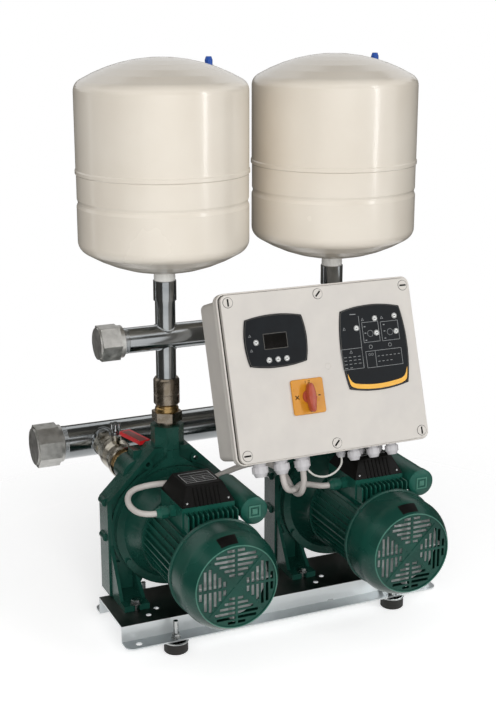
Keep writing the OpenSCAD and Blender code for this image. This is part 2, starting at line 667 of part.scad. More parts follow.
module impeller() difference() {
  union() {
    rod_y(casing_front + 16, casing_back - 6, 17);
    rod_y(casing_front + 16, casing_front + 19, impeller_r);
    slab_y(casing_front + 18, casing_front + 30) for (a = [0:60:300]) rotate(a) intersection() {
      translate([28, 0]) difference() {
        circle(36);
        circle(33.5);
      }
      translate([0, -impeller_r]) square([impeller_r, impeller_r]);
      circle(impeller_r - 1);
    }
  }
  rod_y(casing_front + 15, casing_back, pump_shaft_r + 0.02);
}

module fan() difference() {
  union() {
    rod_y(cover_front + 15, cover_front + 38, 15);
    rod_y(cover_front + 34, cover_front + 36.5, cover_r - 16);
    for (a = [0:45:315]) rotate([0, a, 0])
      box(12, cover_r - 17, cover_front + 14, cover_front + 35, -1.2, 1.2);
  }
  rod_y(cover_front + 13, cover_front + 40, pump_shaft_r + 0.02);
}

module left_shaft() placed() color("#b9bcc0") pump(-1) shaft();
module right_shaft() placed() color("#b9bcc0") pump(1) shaft();
module left_impeller() placed() color("#c59b57") pump(-1) impeller();
module right_impeller() placed() color("#c59b57") pump(1) impeller();
module left_fan() placed() color("#2a2c2e") pump(-1) fan();
module right_fan() placed() color("#2a2c2e") pump(1) fan();

// Suction manifold with two short outlets towards the valves
module suction_manifold() placed() color("#c6c8c8") translate([0, 0, suction_z]) difference() {
  union() {
    translate([0, suction_back, 0])
      rod_x(-suction_len / 2 + cap_len - thread_in, suction_len / 2 - thread_len, suction_od / 2);
    translate([0, suction_back, 0])
      rod_x(suction_len / 2 - thread_len - 1, suction_len / 2, suction_od / 2 - thread_cut);
    risers() translate([-port_off, 0, 0]) rod_y(tail_y, suction_back, nipple_r + 3);
  }
  translate([0, suction_back, 0]) rod_x(-suction_len, suction_len, suction_od / 2 - pipe_t);
  risers() translate([-port_off, 0, 0]) rod_y(tail_y - 1, suction_back, nipple_bore + 1);
}

// Cast end caps on the left ends of both manifolds
module end_cap(r, len, flat, sides) difference() {
  union() {
    translate([3, 0, 0]) rotate([0, 90, 0]) rotate([0, 0, flat])
      cylinder(h = len - 10, r = r, $fn = sides);
    rod_x(0, 4, r * 0.84);
    rod_x(len - 8, len, r * 0.86);
  }
  children();
}

module manifold_caps() placed() color("#8d8f8d") {
  translate([-suction_len / 2, suction_back, suction_z])
    end_cap(cap_flat / 2 / cos(22.5), cap_len, 22.5, 8)
      rod_x(cap_len - thread_in, cap_len + 1, suction_od / 2 + snug);
  translate([-delivery_len / 2, 0, delivery_z]) end_cap(0.5 * 54 / cos(30), cap_small, 30, 6)
    rod_x(cap_small - thread_in + 4, cap_small + 1, delivery_od / 2 + snug);
}

// Brass: suction nipples with a hexagon, and the unions under the check valves
module brass_unions() placed() color("#b88a3e") {
  pumps() port() difference() {
    union() {
      rod_y(port_face - 18, ring_y + 9, nipple_r);
      rod_y(port_face, ring_y - 1, nipple_r + 4, 8);
    }
    rod_y(port_face - 20, ring_y + 20, nipple_bore);
  }
  risers() difference() {
    union() {
      translate([0, 0, boss_z - 18]) cylinder(h = 30, r = riser_r);
      translate([0, 0, nut_z]) rotate([0, 0, 30]) cylinder(h = nut_h, r = 26, $fn = 6);
    }
    translate([0, 0, boss_z - 20]) cylinder(h = 60, r = riser_bore);
  }
}

// Ball valve bodies: ring, barrel, bonnet and tail hexagon
module valve_bodies() placed() color("#c9c6bd") pumps() port() difference() {
  union() {
    turned_y() polygon([[0, ring_y], [27.5, ring_y], [29, ring_y + 2], [29, barrel_y - 2],
      [26, barrel_y], [25, ball_y - 20], [28, ball_y - 6], [28, ball_y + 8], [23, ball_y + 24],
      [23, barrel_y + barrel_len], [0, barrel_y + barrel_len]]);
    rod_y(barrel_y + barrel_len - 1, tail_y, 26, 6);
    translate([0, ball_y, 0]) cylinder(h = 37, r = 10);
  }
  rod_y(ring_y - 1, tail_y + 1, nipple_bore);
  rod_y(ring_y - 1, ring_y + 9, nipple_r + snug);
  translate([0, ball_y, 0]) sphere(ball_r + gap);
  translate([0, ball_y, 0]) cylinder(h = 40, r = stem_r + run);
}

// Ball with its stem, and the lever on top, drawn at the photographed angle
module valve_ball(side) placed() color("#d9dadb") pump(side) port() translate([0, ball_y, 0])
  rotate([0, 0, lever_rest]) {
    difference() {
      sphere(ball_r);
      rod_y(-30, 30, nipple_bore - 2);
    }
    translate([0, 0, ball_r - 4]) cylinder(h = stem_top - ball_r + 4, r = stem_r);
  }

module valve_lever(side) placed() color("#c3272b") pump(side) port() translate([0, ball_y, 0])
  rotate([0, 0, lever_rest]) difference() {
    union() {
      translate([0, 0, 37.5]) cylinder(h = 5, r = 12);
      box(-8, 8, -22, 0, 38, 41);
      slab_x(-8, 8) polygon([[-18, 38], [-21, 38], [-32, 46], [-lever_len, 48],
        [-lever_len, 51], [-31, 49], [-20, 41], [-18, 41]]);
      box(-10, 10, -lever_len - 2, -30, 45.5, 52.5);
      // six-lobed hand nut on its collar
      translate([0, 0, 42]) cylinder(h = 8, r = 7);
      for (a = [0:60:300]) rotate([0, 0, a]) translate([7.5, 0, 49]) cylinder(h = 8, r = 3.4);
      translate([0, 0, 49]) cylinder(h = 8, r = 7.5);
    }
    cylinder(h = 60, r = stem_r + 0.02);
  }

module left_valve_ball() valve_ball(-1);
module right_valve_ball() valve_ball(1);
module left_valve_lever() valve_lever(-1);
module right_valve_lever() valve_lever(1);

// Check valve bodies in the risers
module check_valves() placed() color("#8d8171") risers() difference() {
  rotate_extrude() polygon([[0, valve_z], [20, valve_z], [20, valve_z + 6], [18.5, valve_z + 8],
    [18.5, valve_z + 11], [22, valve_z + 15], [22, valve_z + 30], [21.2, valve_z + 30.6],
    [21.2, valve_z + 31.8], [22, valve_z + 32.4], [22, valve_z + check_h - 4],
    [19.5, valve_z + check_h], [0, valve_z + check_h]]);
  translate([0, 0, valve_z - 1]) cylinder(h = check_h, r = 10.5);
  translate([0, 0, seat_z]) cylinder(h = socket_z - seat_z + 1, r = 15.2);
  translate([0, 0, socket_z]) cylinder(h = check_h, r = riser_r + snug);
}

// Disc of a check valve with its guide stem, resting on the seat
module check_disc(side) placed() color("#4a4a48") translate([side * pump_pitch / 2, 0, seat_z + 0.02])
  rotate_extrude() polygon([[0, -7], [4, -7], [9, 0], [13.5, 0], [13.5, 3], [3, 6], [3, 15], [0, 15]]);

module left_check_disc() check_disc(-1);
module right_check_disc() check_disc(1);

// Delivery manifold, drilled where the risers join
module delivery_manifold() placed() color("#c6c8c8") translate([0, 0, delivery_z]) difference() {
  union() {
    rod_x(-delivery_len / 2 + cap_small - thread_in + 4, delivery_len / 2 - thread_len, delivery_od / 2);
    rod_x(delivery_len / 2 - thread_len - 1, delivery_len / 2, delivery_od / 2 - thread_cut);
  }
  rod_x(-delivery_len, delivery_len, delivery_od / 2 - pipe_t);
  risers() translate([0, 0, -delivery_od]) cylinder(h = 2 * delivery_od, r = riser_bore - 1);
}

// Risers below and above the manifold, and the sleeves under the tanks
module riser_pipes() placed() color("#c6c8c8") risers() {
  difference() {
    union() {
      translate([0, 0, socket_z]) cylinder(h = delivery_z - socket_z, r = riser_r);
      translate([0, 0, delivery_z]) cylinder(h = coupling_z + 16 - delivery_z, r = riser_r);
      translate([0, 0, coupling_z]) cylinder(h = coupling_h, r = riser_r + 2.3);
    }
    translate([0, 0, socket_z - 1]) cylinder(h = coupling_z + 16 - socket_z, r = riser_bore);
    translate([0, 0, coupling_z + 16]) cylinder(h = coupling_h, r = neck_r + snug);
    translate([0, 0, coupling_z + 14]) cylinder(h = 4, r = riser_bore);
    translate([0, 0, delivery_z]) rod_x(-delivery_len, delivery_len, delivery_od / 2 + 0.02);
  }
}

// Tank outline from the bottom mouth, round the shell, to the top; inset by t
module tank_half(t) {
  r = tank_r - t;
  bottom = dished(r, dish_low - t, knuckle - t);
  top = dished(r, dish_high - t, knuckle - t);
  seam = tank_h * 0.484;
  polygon(concat(
    [for (i = [len(bottom) - 1:-1:0]) [bottom[i][0], dish_low - bottom[i][1]]],
    [[r, seam - 56], [r - 2, seam - 51], [r - 2, seam - 48], [r - 0.5, seam - 44],
      [r - 0.5, seam - 5], [r + 1.3, seam - 3], [r + 1.3, seam + 2], [r, seam + 4]],
    [for (i = [0:len(top) - 1]) [top[i][0], tank_h - dish_high + top[i][1]]]));
}

// Membrane tanks: welded shells with a threaded neck below and an air valve boss on top
module tank_shells() placed() color("#e6dcc3") risers() translate([0, 0, tank_z]) difference() {
  union() {
    rotate_extrude() tank_half(0);
    translate([0, 0, -neck_h - coupling_h + 18]) cylinder(h = neck_h + coupling_h - 14, r = neck_r);
    translate([tank_r * 0.7, tank_r * 0.29, tank_h - 32]) cylinder(h = 15, r = 9);
  }
  rotate_extrude() tank_half(tank_t);
  translate([0, 0, -neck_h - coupling_h]) cylinder(h = neck_h + coupling_h + 10, r = neck_r - 3.5);
}

// Outline of half a membrane bag, inset by t
module bag_half(t) {
  w = tank_r * 0.745 - t;
  h = tank_h * 0.605 - t;
  polygon([[0, t + 0.2], [14, t + 0.4], [24, t + 1.2], [w * 0.577, 12 + 0.7 * t],
    [w * 0.942, h * 0.23 + t / 2], [w, h * 0.53], [w * 0.827, h * 0.827], [w * 0.385, h * 0.98],
    [0, h]]);
}

// Rubber membrane bag inside each tank, clamped round the neck
module tank_diaphragms() placed() color("#2b2b2b") risers() translate([0, 0, tank_z + tank_t + gap])
  difference() {
    rotate_extrude() bag_half(0);
    rotate_extrude() bag_half(3.5);
    translate([0, 0, -2]) cylinder(h = 10, r = neck_r - 3.5);
  }

module air_valve_caps() placed() color("#2f5fb0") risers()
  translate([tank_r * 0.7, tank_r * 0.29, tank_z + tank_h - 17]) {
    cylinder(h = 9, r = 6.5, $fn = 12);
    translate([0, 0, 9]) cylinder(h = 5, r1 = 6.3, r2 = 4.5);
  }

// Panel bracket: plate on the panel's back, two saddles and two pipe clamps
module panel_bracket() placed() color("#b9bcbf") at_panel() {
  difference() {
    union() {
      translate([0, panel_d, 0]) box(clamp_x[0] - 30, clamp_x[1] + 30, 0, plate_t, man_v - 120, man_v + 38);
      for (x = clamp_x) box(x - 16, x + 16, panel_d + plate_t - 1, man_d, man_v - 30, man_v + 30);
      for (x = clamp_x) translate([x, man_d, man_v]) {
        rotate([0, 90, 0]) rotate_extrude(angle = 180)
          translate([delivery_od / 2 + 4.2, 0]) circle(4, $fn = 24);
      }
    }
    translate([0, man_d, man_v]) rod_x(-400, 400, delivery_od / 2 + snug);
  }
}

// Panel box: moulded tray, open at the front
module panel_box() placed() color("#d9d6cf") at_panel() difference() {
  slab_y(lid_t, panel_d) round_rect(panel_w - 8, panel_h - 8, 10);
  slab_y(lid_t - 1, panel_d - wall) round_rect(panel_w - 8 - 2 * wall, panel_h - 8 - 2 * wall, 8);
  for (u = big_glands) translate([u, big_d, -panel_h / 2]) cylinder(h = 12, r = 13 * 0.72 + snug);
  for (u = front_glands) translate([u, big_d, -panel_h / 2]) cylinder(h = 12, r = 11 * 0.72 + snug);
  for (u = rear_glands) translate([u, rear_d, -panel_h / 2]) cylinder(h = 12, r = 8 * 0.72 + snug);
}

// Panel lid: shallow tray with a seal rim, screw wells and openings for the controls
module panel_lid() placed() color("#dedbd4") at_panel() difference() {
  slab_y(0, lid_t) round_rect(panel_w, panel_h, 10);
  slab_y(4, lid_t + 1) difference() {
    round_rect(panel_w - 8 - 2 * wall, panel_h - 8 - 2 * wall, 8);
    for (p = screw_at) translate(p) circle(10.5);
  }
  for (p = screw_at) translate([p[0], 0, p[1]]) {
    rod_y(-1, 6, 8.2);
    rod_y(-1, lid_t + 1, 3.2);
  }
  translate([switch_at[0], 0, switch_at[1]]) rod_y(-1, 6, 8);
  translate([2, 0, 3]) rod_y(-1, 0.8, 5);
}

// Quarter-turn lid screws with a slot
module lid_screws() placed() color("#e4e2dc") at_panel() for (p = screw_at)
  translate([p[0], 0, p[1]]) difference() {
    union() {
      rod_y(-0.8, 6, 8);
      rod_y(5, lid_t + 8, 3);
    }
    rotate([0, 45 * sign(p[0]) * sign(p[1]) - 45, 0]) box(-5.5, 5.5, -2, 1.2, -1.1, 1.1);
  }

// Bulged keypad outline: four large arcs over a rounded rectangle
module pillow(w, h, b) {
  rx = (h * h / 4 + b * b) / (2 * b);
  ry = (w * w / 4 + b * b) / (2 * b);
  intersection() {
    round_rect(w, h, 13);
    translate([w / 2 - rx, 0]) circle(rx, $fn = 180);
    translate([rx - w / 2, 0]) circle(rx, $fn = 180);
    translate([0, h / 2 - ry]) circle(ry, $fn = 180);
    translate([0, ry - h / 2]) circle(ry, $fn = 180);
  }
}

module keypads() placed() color("#20242c") at_panel() difference() {
  union() {
    slab_y(-pad_plate, 0) translate(small_pad) pillow(110, 86, 7);
    slab_y(-pad_plate, 0) translate(large_pad) pillow(124, 142, 9);
  }
  for (p = concat(display_keys, pump_keys)) translate([p[0], 0, p[1]]) rod_y(-5, 1, key_r + gap);
  // display window recess
  translate([small_pad[0], 0, small_pad[1]]) box(-20, 19, -5, -1, -12, 11);
}

// One key: a round cap that rides in the keypad
module key(p) placed() color("#e9e9e6") at_panel() translate([p[0], 0, p[1]]) {
  rod_y(-pad_plate - 0.7, -stroke - 0.2, key_r);
}

module display_key_1() key(display_keys[0]);
module display_key_2() key(display_keys[1]);
module display_key_3() key(display_keys[2]);
module display_key_4() key(display_keys[3]);
module pump_key_1() key(pump_keys[0]);
module pump_key_2() key(pump_keys[1]);
module pump_key_3() key(pump_keys[2]);
module pump_key_4() key(pump_keys[3]);
module pump_key_5() key(pump_keys[4]);

// Main switch: square plate on the lid with the switch body behind, and its handle
module switch_plate() placed() color("#f2a51e") at_panel()
  translate([switch_at[0], 0, switch_at[1]]) difference() {
    union() {
      slab_y(-4, 0) round_rect(57, 57, 4);
      rod_y(-1, 4, 7.9);
      box(-24, 24, 4, 52, -24, 24);
    }
    rod_y(-5, 30, 5 + run);
  }

module switch_handle() placed() color("#b3382c") at_panel()
  translate([switch_at[0], 0, switch_at[1]]) {
    rod_y(-10, 20, 5);
    difference() {
      union() {
        cone_y(-14, -4 - run, 17, 21);
        slab_y(-31, -13) round_rect(13, 46, 6);
      }
      slab_y(-32, -28) translate([0, -14]) circle(2.6);
    }
  }

// Cable glands in the panel's floor
module cable_glands() placed() color("#d6d6d8") at_panel() translate([0, 0, -panel_h / 2 + 4])
  rotate([180, 0, 0]) {
    for (i = [0:2]) translate([big_glands[i], -big_d, 0]) gland(13, big_len, cable_r + snug);
    for (u = front_glands) translate([u, -big_d, 0]) gland(11, small_len + 2, 2.2);
    for (u = rear_glands) translate([u, -rear_d, 0]) gland(8, small_len - 4, thin_r + snug);
  }

// Control board on stand-offs inside the box
module control_board() placed() color("#2f6b4a") at_panel() {
  back = panel_d - wall;
  box(-board_w / 2, board_w / 2, back - 12, back - 10, -board_h / 2, board_h / 2);
  for (x = [-1, 1], z = [-1, 1]) translate([x * (board_w / 2 - 10), 0, z * (board_h / 2 - 10)])
    rod_y(back - 11, back, 4);
  box(-board_w * 0.35, -board_w * 0.15, back - 38, back - 11, board_h * 0.1, board_h * 0.4);
  box(board_w * 0.05, board_w * 0.4, back - 32, back - 11, -board_h * 0.4, -board_h * 0.2);
}

// Cables: from the motor glands and between panel glands, hanging free
module left_motor_cable() placed() color("#dad6d2") tube(left_route, cable_r, 10, 1);
module right_motor_cable() placed() color("#dad6d2") tube(right_route, cable_r, 10, 1);
module sensor_cable() placed() color("#e8e8e8") tube(sense_route, thin_r, 8, 1);

base_plate();
rubber_feet();
fasteners();
pump_casings();
motor_brackets();
ejectors();
shaft_seals();
motor_casings();
stators();
bearings();
end_shields();
fan_covers();
terminal_boxes();
terminal_covers();
capacitors();
motor_glands();
left_shaft();
right_shaft();
left_impeller();
right_impeller();
left_fan();
right_fan();
suction_manifold();
manifold_caps();
brass_unions();
valve_bodies();
left_valve_ball();
right_valve_ball();
left_valve_lever();
right_valve_lever();
check_valves();
left_check_disc();
right_check_disc();
delivery_manifold();
riser_pipes();
tank_shells();
tank_diaphragms();
air_valve_caps();
panel_bracket();
panel_box();
panel_lid();
lid_screws();
keypads();
switch_plate();
switch_handle();
cable_glands();
control_board();
display_key_1();
display_key_2();
display_key_3();
display_key_4();
pump_key_1();
pump_key_2();
pump_key_3();
pump_key_4();
pump_key_5();
left_motor_cable();
right_motor_cable();
sensor_cable();
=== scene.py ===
"""Looks of a twin-pump water booster set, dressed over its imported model, in metres."""
import math

import bmesh
import bpy
from mathutils import Matrix, Vector


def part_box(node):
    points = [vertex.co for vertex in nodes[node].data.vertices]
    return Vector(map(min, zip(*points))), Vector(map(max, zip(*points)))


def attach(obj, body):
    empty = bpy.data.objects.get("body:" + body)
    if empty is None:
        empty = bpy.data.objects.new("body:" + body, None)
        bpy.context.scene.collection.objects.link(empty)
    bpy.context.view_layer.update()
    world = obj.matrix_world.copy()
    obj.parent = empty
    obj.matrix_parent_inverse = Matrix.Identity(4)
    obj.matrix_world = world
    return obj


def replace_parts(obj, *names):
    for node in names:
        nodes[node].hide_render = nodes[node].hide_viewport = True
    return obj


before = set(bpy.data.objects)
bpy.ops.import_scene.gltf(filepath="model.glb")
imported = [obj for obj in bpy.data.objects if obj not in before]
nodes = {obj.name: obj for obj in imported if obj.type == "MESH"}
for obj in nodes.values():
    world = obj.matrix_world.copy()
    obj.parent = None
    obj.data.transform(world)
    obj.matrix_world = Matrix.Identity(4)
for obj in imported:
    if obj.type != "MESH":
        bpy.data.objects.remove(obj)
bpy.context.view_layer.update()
scene = bpy.context.scene
scene.view_settings.view_transform = "Standard"

# Camera: stands to the front left and a little above the panel, as the photograph was taken.
# The lens belongs to a 36 mm long side, so the frame's 702 pixels span it.
camera = bpy.data.objects.new("camera", bpy.data.cameras.new("camera"))
camera.data.sensor_width = 36
camera.data.lens = 67.611
camera.location = (-0.88687, -1.97259, 1.04984)
camera.rotation_euler = (math.radians(74.59), 0, math.radians(-23.84))
scene.collection.objects.link(camera)
scene.camera = camera


# Cables: two grey motor leads and one thin pale sensor lead, in extruded PVC sheaths. Each motor
# lead goes from a gland on its terminal box into one under the panel, and the sensor lead hangs
# between two small glands. They are limp, and the glands' nuts grip their ends.
def linear(code):
    """Linear colour of an sRGB hex code."""
    parts = [int(code[i : i + 2], 16) / 255 for i in (1, 3, 5)]
    return [c / 12.92 if c <= 0.04045 else ((c + 0.055) / 1.055) ** 2.4 for c in parts] + [1]


def add(tree, kind, inputs, **settings):
    """Adds a node, or takes one that is there, with its settings, socket values and links."""
    node = tree.nodes.new(kind) if isinstance(kind, str) else kind
    for key, value in settings.items():
        setattr(node, key, value)
    for socket, value in inputs.items():
        if isinstance(value, tuple) and isinstance(value[0], bpy.types.Node):
            tree.links.new(value[0].outputs[value[1]], node.inputs[socket])
        else:
            node.inputs[socket].default_value = value
    return node


def coating(name, tones, rough, patch, grit, depth, stretch=(1, 1, 1), sockets={}):
    """A finish whose two tones drift over a patch, with grit of a size and depth, in millimetres.

    Real grit is finer than a pixel, so it is drawn 0.7 to 3 mm across, where it can still show.
    """
    material = bpy.data.materials.new(name)
    material.use_nodes = True
    tree = material.node_tree
    skin = tree.nodes["Principled BSDF"]
    place = add(tree, "ShaderNodeTexCoord", {})
    laid = add(tree, "ShaderNodeMapping", {"Vector": (place, "Object"), "Scale": stretch})
    drift = add(
        tree, "ShaderNodeTexNoise", {"Vector": (laid, "Vector"), "Scale": 1000 / patch, "Detail": 4}
    )
    tone = add(tree, "ShaderNodeValToRGB", {"Fac": (drift, "Fac")})
    for stop, position, code in zip(tone.color_ramp.elements, (0.35, 0.65), tones):
        stop.position = position
        stop.color = linear(code)
    gloss = add(
        tree,
        "ShaderNodeMapRange",
        {
            "Value": (drift, "Fac"),
            "From Min": 0.3,
            "From Max": 0.7,
            "To Min": rough[0],
            "To Max": rough[1],
        },
    )
    grain = add(
        tree, "ShaderNodeTexNoise", {"Vector": (laid, "Vector"), "Scale": 1000 / grit, "Detail": 3}
    )
    relief = add(tree, "ShaderNodeBump", {"Height": (grain, "Fac"), "Distance": depth / 1000})
    add(
        tree,
        skin,
        {
            "Base Color": (tone, "Color"),
            "Roughness": (gloss, "Result"),
            "Normal": (relief, "Normal"),
        },
    )
    for socket, value in sockets.items():
        skin.inputs[socket].default_value = value
    return material


def lead(name, node, points, radius, finish):
    """A cable through its route's points, rounded the way the model's own tube is."""
    curve = bpy.data.curves.new(name, "CURVE")
    curve.dimensions = "3D"
    curve.bevel_depth = radius
    curve.bevel_resolution = 5
    curve.resolution_u = 6
    curve.use_fill_caps = True
    line = curve.splines.new("BEZIER")
    line.bezier_points.add(len(points) - 1)
    for i, knot in enumerate(line.bezier_points):
        pull = (points[min(i + 1, len(points) - 1)] - points[max(i - 1, 0)]) / 6
        knot.co = points[i]
        knot.handle_left_type = knot.handle_right_type = "FREE"
        knot.handle_left = points[i] - pull
        knot.handle_right = points[i] + pull
    curve.materials.append(finish)
    cable = bpy.data.objects.new(name, curve)
    scene.collection.objects.link(cable)
    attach(cable, "frame")
    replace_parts(cable, node)


def route(start, *steps):
    """Points set off from a start, both given in millimetres."""
    return [(Vector(start) + Vector(step)) / 1000 for step in steps]


# soft PVC is satin, and its tone is a little uneven
cable_grey = coating("cable_pvc_grey", ("#B9B3AE", "#C9C4BF"), (0.38, 0.5), 40, 0.8, 0.03)
sensor_white = coating("sensor_pvc_white", ("#D6D4CE", "#E4E2DC"), (0.35, 0.45), 30, 0.7, 0.02)
panel_tilt = math.radians(18.7)
panel_up = Vector((0, math.sin(panel_tilt), math.cos(panel_tilt)))
left_in, left_out = (-230.5, -124.25, 242), (9, -166.775, 292.913)
right_in, right_out = (78.5, -124.25, 242), (-28, -166.775, 292.913)
sense_a, sense_b = Vector((29, -135.153, 292.767)), Vector((96, -135.153, 292.767))
left_route = (
    route(
        left_in,
        (6, 0, 0), (-5, 0, 0), (-15.5, 2, 1), (-26, 7.5, 3), (-33, 17, 7), (-35.5, 28.5, 12),
        (-33, 40, 17), (-26, 49.5, 21), (-16, 55.5, 23.5), (-4.5, 58.5, 24.5), (8, 60, 25),
        (22, 61.5, 24.5), (38, 63.5, 23), (57, 66, 20), (79, 69, 16), (103, 71, 14),
        (127, 73, 15),
    )
    + route(
        left_out,
        (-88, 117, -30), (-66, 119, -25.5), (-45, 118, -22), (-27, 112, -20.5), (-14, 102, -21),
        (-5.5, 89, -24), (-1, 75, -28.5), (0, 61, -34.5), (0, 47.5, -41.5), (0, 34.5, -46.5),
        (0, 22.5, -47.5), (0, 12, -44), (0, 4, -37), (0, -1.5, -27), (0, -3.5, -16),
        panel_up * -6, panel_up * 6,
    )
)
right_route = (
    route(
        right_in,
        (6, 0, 0), (-5, 0, 0), (-16, -0.5, 1.5), (-27, -2.5, 5), (-38, -6.5, 9.5),
        (-49, -12, 13.5),
    )
    + route(
        right_out,
        (46, 26, -34), (35, 17, -34.5), (24, 9, -34), (14, 2.5, -31), (6.5, -2, -24.5),
        (2, -3.5, -15.5), panel_up * -5, panel_up * 6,
    )
)
sensor_route = (
    route(
        sense_a,
        panel_up * 5, panel_up * -2.5, (1.5, -3, -9), (6, -5, -15), (13, -6, -21), (23, -7, -25),
    )
    + route((sense_a + sense_b) / 2, (0, -7, -26.5))
    + route(
        sense_b,
        (-23, -7, -25), (-13, -6, -21), (-6, -5, -15), (-1.5, -3, -9), panel_up * -2.5,
        panel_up * 5,
    )
)
lead(
    "left_motor_lead", "left_motor_cable", left_route, radius=0.005,
    finish=cable_grey,
)
lead(
    "right_motor_lead", "right_motor_cable", right_route, radius=0.005,
    finish=cable_grey,
)
lead(
    "sensor_lead", "sensor_cable", sensor_route, radius=0.00175,
    finish=sensor_white,
)


# Base: one galvanised steel sheet, folded into a raised deck with a lip along front and back.
# The walls keep bright zinc with faint crystals about 9 mm across and roll marks along the length,
# while the deck's top is painted dark grey as a painted reflection of the dark pumps above it, and
# the lips' tops a lighter grey as painted shade.
def fit(name, bm, finishes, body="frame", crease=35):
    """Makes a piece of a shape, with soft shading up to the crease angle, on its body."""
    mesh = bpy.data.meshes.new(name)
    bm.to_mesh(mesh)
    bm.free()
    for layer in [a for a in mesh.attributes if a.name == "custom_normal"]:
        mesh.attributes.remove(layer)
    for finish in finishes:
        mesh.materials.append(finish)
    mesh.shade_smooth()
    mesh.set_sharp_from_angle(angle=math.radians(crease))
    piece = bpy.data.objects.new(name, mesh)
    scene.collection.objects.link(piece)
    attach(piece, body)
    return piece


def copied(node):
    """A copy of a CAD node's shape with its loose triangles joined into flat faces."""
    bm = bmesh.new()
    bm.from_mesh(nodes[node].data)
    bmesh.ops.remove_doubles(bm, verts=bm.verts, dist=1e-6)
    bmesh.ops.dissolve_limit(
        bm, angle_limit=math.radians(0.5), verts=bm.verts, edges=bm.edges
    )
    return bm


# new zinc is pale, and half mirror, half haze
galvanised = coating(
    "galvanised_sheet", ("#D3D8D9", "#DEE2E2"), (0.26, 0.36), 60, 0.9, 0.015,
    stretch=(0.15, 1, 1), sockets={"Metallic": 0.5},
)
crystal_size = 9
crystals = galvanised.node_tree
crystal_place = add(crystals, "ShaderNodeTexCoord", {})
crystal = add(
    crystals,
    "ShaderNodeTexVoronoi",
    {"Vector": (crystal_place, "Object"), "Scale": 1000 / crystal_size},
)
crystal_gloss = add(
    crystals,
    "ShaderNodeMapRange",
    {"Value": (crystal, "Color"), "To Min": 0.27, "To Max": 0.33},
)
add(
    crystals,
    crystals.nodes["Principled BSDF"],
    {"Roughness": (crystal_gloss, "Result")},
)
# painted reflection: the deck's top is a darker grey than the sheet, for the dark pumps it mirrors
painted_deck_reflection = coating(
    "deck_painted_reflection", ("#6F6E6C", "#7C7B78"), (0.3, 0.42), 40, 0.9, 0.015, sockets={"Metallic": 1}
)
# painted shade: the lips' tops are a mid grey, darker than the walls
painted_lip_shade = coating(
    "lip_painted_shade", ("#B4B9BC", "#C0C5C7"), (0.3, 0.42), 40, 0.9, 0.015, sockets={"Metallic": 1}
)
deck_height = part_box("base_plate")[1][2]
deck_reflection_index, lip_shade_index = 1, 2
folded = copied("base_plate")
# upward faces take the painted reflection on the deck and the painted shade on the lips
for face in folded.faces:
    if face.normal.z > 0.9:
        on_deck = face.calc_center_median().z > deck_height - 0.01
        face.material_index = deck_reflection_index if on_deck else lip_shade_index
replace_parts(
    fit("folded_base", folded, [galvanised, painted_deck_reflection, painted_lip_shade], crease=2),
    "base_plate",
)


# Feet and fixings: black rubber feet vulcanised to a steel disc, with zinc-plated studs, nuts,
# washers and bolts. The rubber is matt and slightly dusty, the zinc bright with a pale haze, and
# the bolts round the motor brackets are painted over with the castings.
def turned(profile, place, steps=48, angle=math.tau):
    """A shape turned about Z from a profile of (radius, height) in millimetres, set in place."""
    bm = bmesh.new()
    ring = [bm.verts.new((radius / 1000, 0, height / 1000)) for radius, height in profile]
    edges = [bm.edges.new(pair) for pair in zip(ring, ring[1:])]
    bmesh.ops.spin(
        bm, geom=ring + edges, cent=(0, 0, 0), axis=(0, 0, 1), angle=angle, steps=steps,
        use_merge=angle == math.tau,
    )
    bmesh.ops.remove_doubles(bm, verts=bm.verts, dist=1e-6)
    bmesh.ops.recalc_face_normals(bm, faces=bm.faces)
    bmesh.ops.transform(bm, matrix=place, verts=bm.verts)
    return bm


def gather(shapes):
    """Several shapes as one."""
    whole = bmesh.new()
    for shape in shapes:
        held = bpy.data.meshes.new("held")
        shape.to_mesh(held)
        shape.free()
        whole.from_mesh(held)
        bpy.data.meshes.remove(held)
    return whole


def dress(finish, *names):
    """Gives CAD nodes a finish."""
    for name in names:
        for held in nodes[name].material_slots:
            held.material = finish


# moulded rubber is matt, and zinc plate takes broken highlights
rubber = coating("foot_rubber", ("#1A1917", "#262422"), (0.6, 0.75), 15, 0.9, 0.08)
zinc_plate = coating(
    "zinc_plated_steel", ("#A6A9AA", "#C0C2C0"), (0.18, 0.32), 8, 0.8, 0.03,
    sockets={"Metallic": 1},
)
# dipped enamel is glossy, over the pebbled skin that the sand left on the iron
green_iron = coating(
    "green_enamel_on_iron", ("#133B32", "#1A473D"), (0.2, 0.32), 45, 2.2, 0.25,
    sockets={"Specular IOR Level": 0.3},
)
dress(rubber, "rubber_feet")
bracket_front, bracket_back = -0.018, 0.0125
fixings = copied("fasteners")
for face in fixings.faces:
    face.material_index = int(bracket_front < face.calc_center_median().y < bracket_back)
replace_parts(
    fit("painted_fasteners", fixings, [zinc_plate, green_iron]), "fasteners"
)
foot_columns, foot_rows = (-0.203, 0.203), (-0.13275, 0.02525)
disc_profile = [(0, 17.6), (20.6, 17.6), (21.2, 18.2), (21.2, 19.4), (20.6, 20), (0, 20)]
fit(
    "foot_discs",
    gather(
        turned(disc_profile, Matrix.Translation((x, y, 0)))
        for x in foot_columns
        for y in foot_rows
    ),
    [zinc_plate],
)


# Pump castings: grey iron casings and motor brackets, sand cast with rounded edges, then dipped
# in bottle green enamel. The casings are bolted to the deck, and the brackets to the casings.
def soften(piece, label, width, angle):
    """Rounds a piece's edges that are sharper than an angle, to a width in millimetres."""
    edge = piece.modifiers.new(label, "BEVEL")
    edge.width = width / 1000
    edge.segments = 3
    edge.limit_method = "ANGLE"
    edge.angle_limit = math.radians(angle)


def rounded(node, width, finish):
    """A copy of a CAD node with the edge radius of its casting or moulding, in its place."""
    piece = fit(node + "_finished", copied(node), [finish])
    soften(piece, "edge_radius", width, 35)
    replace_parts(piece, node)


rounded("pump_casings", 1.4, green_iron)
rounded("motor_brackets", 1.4, green_iron)


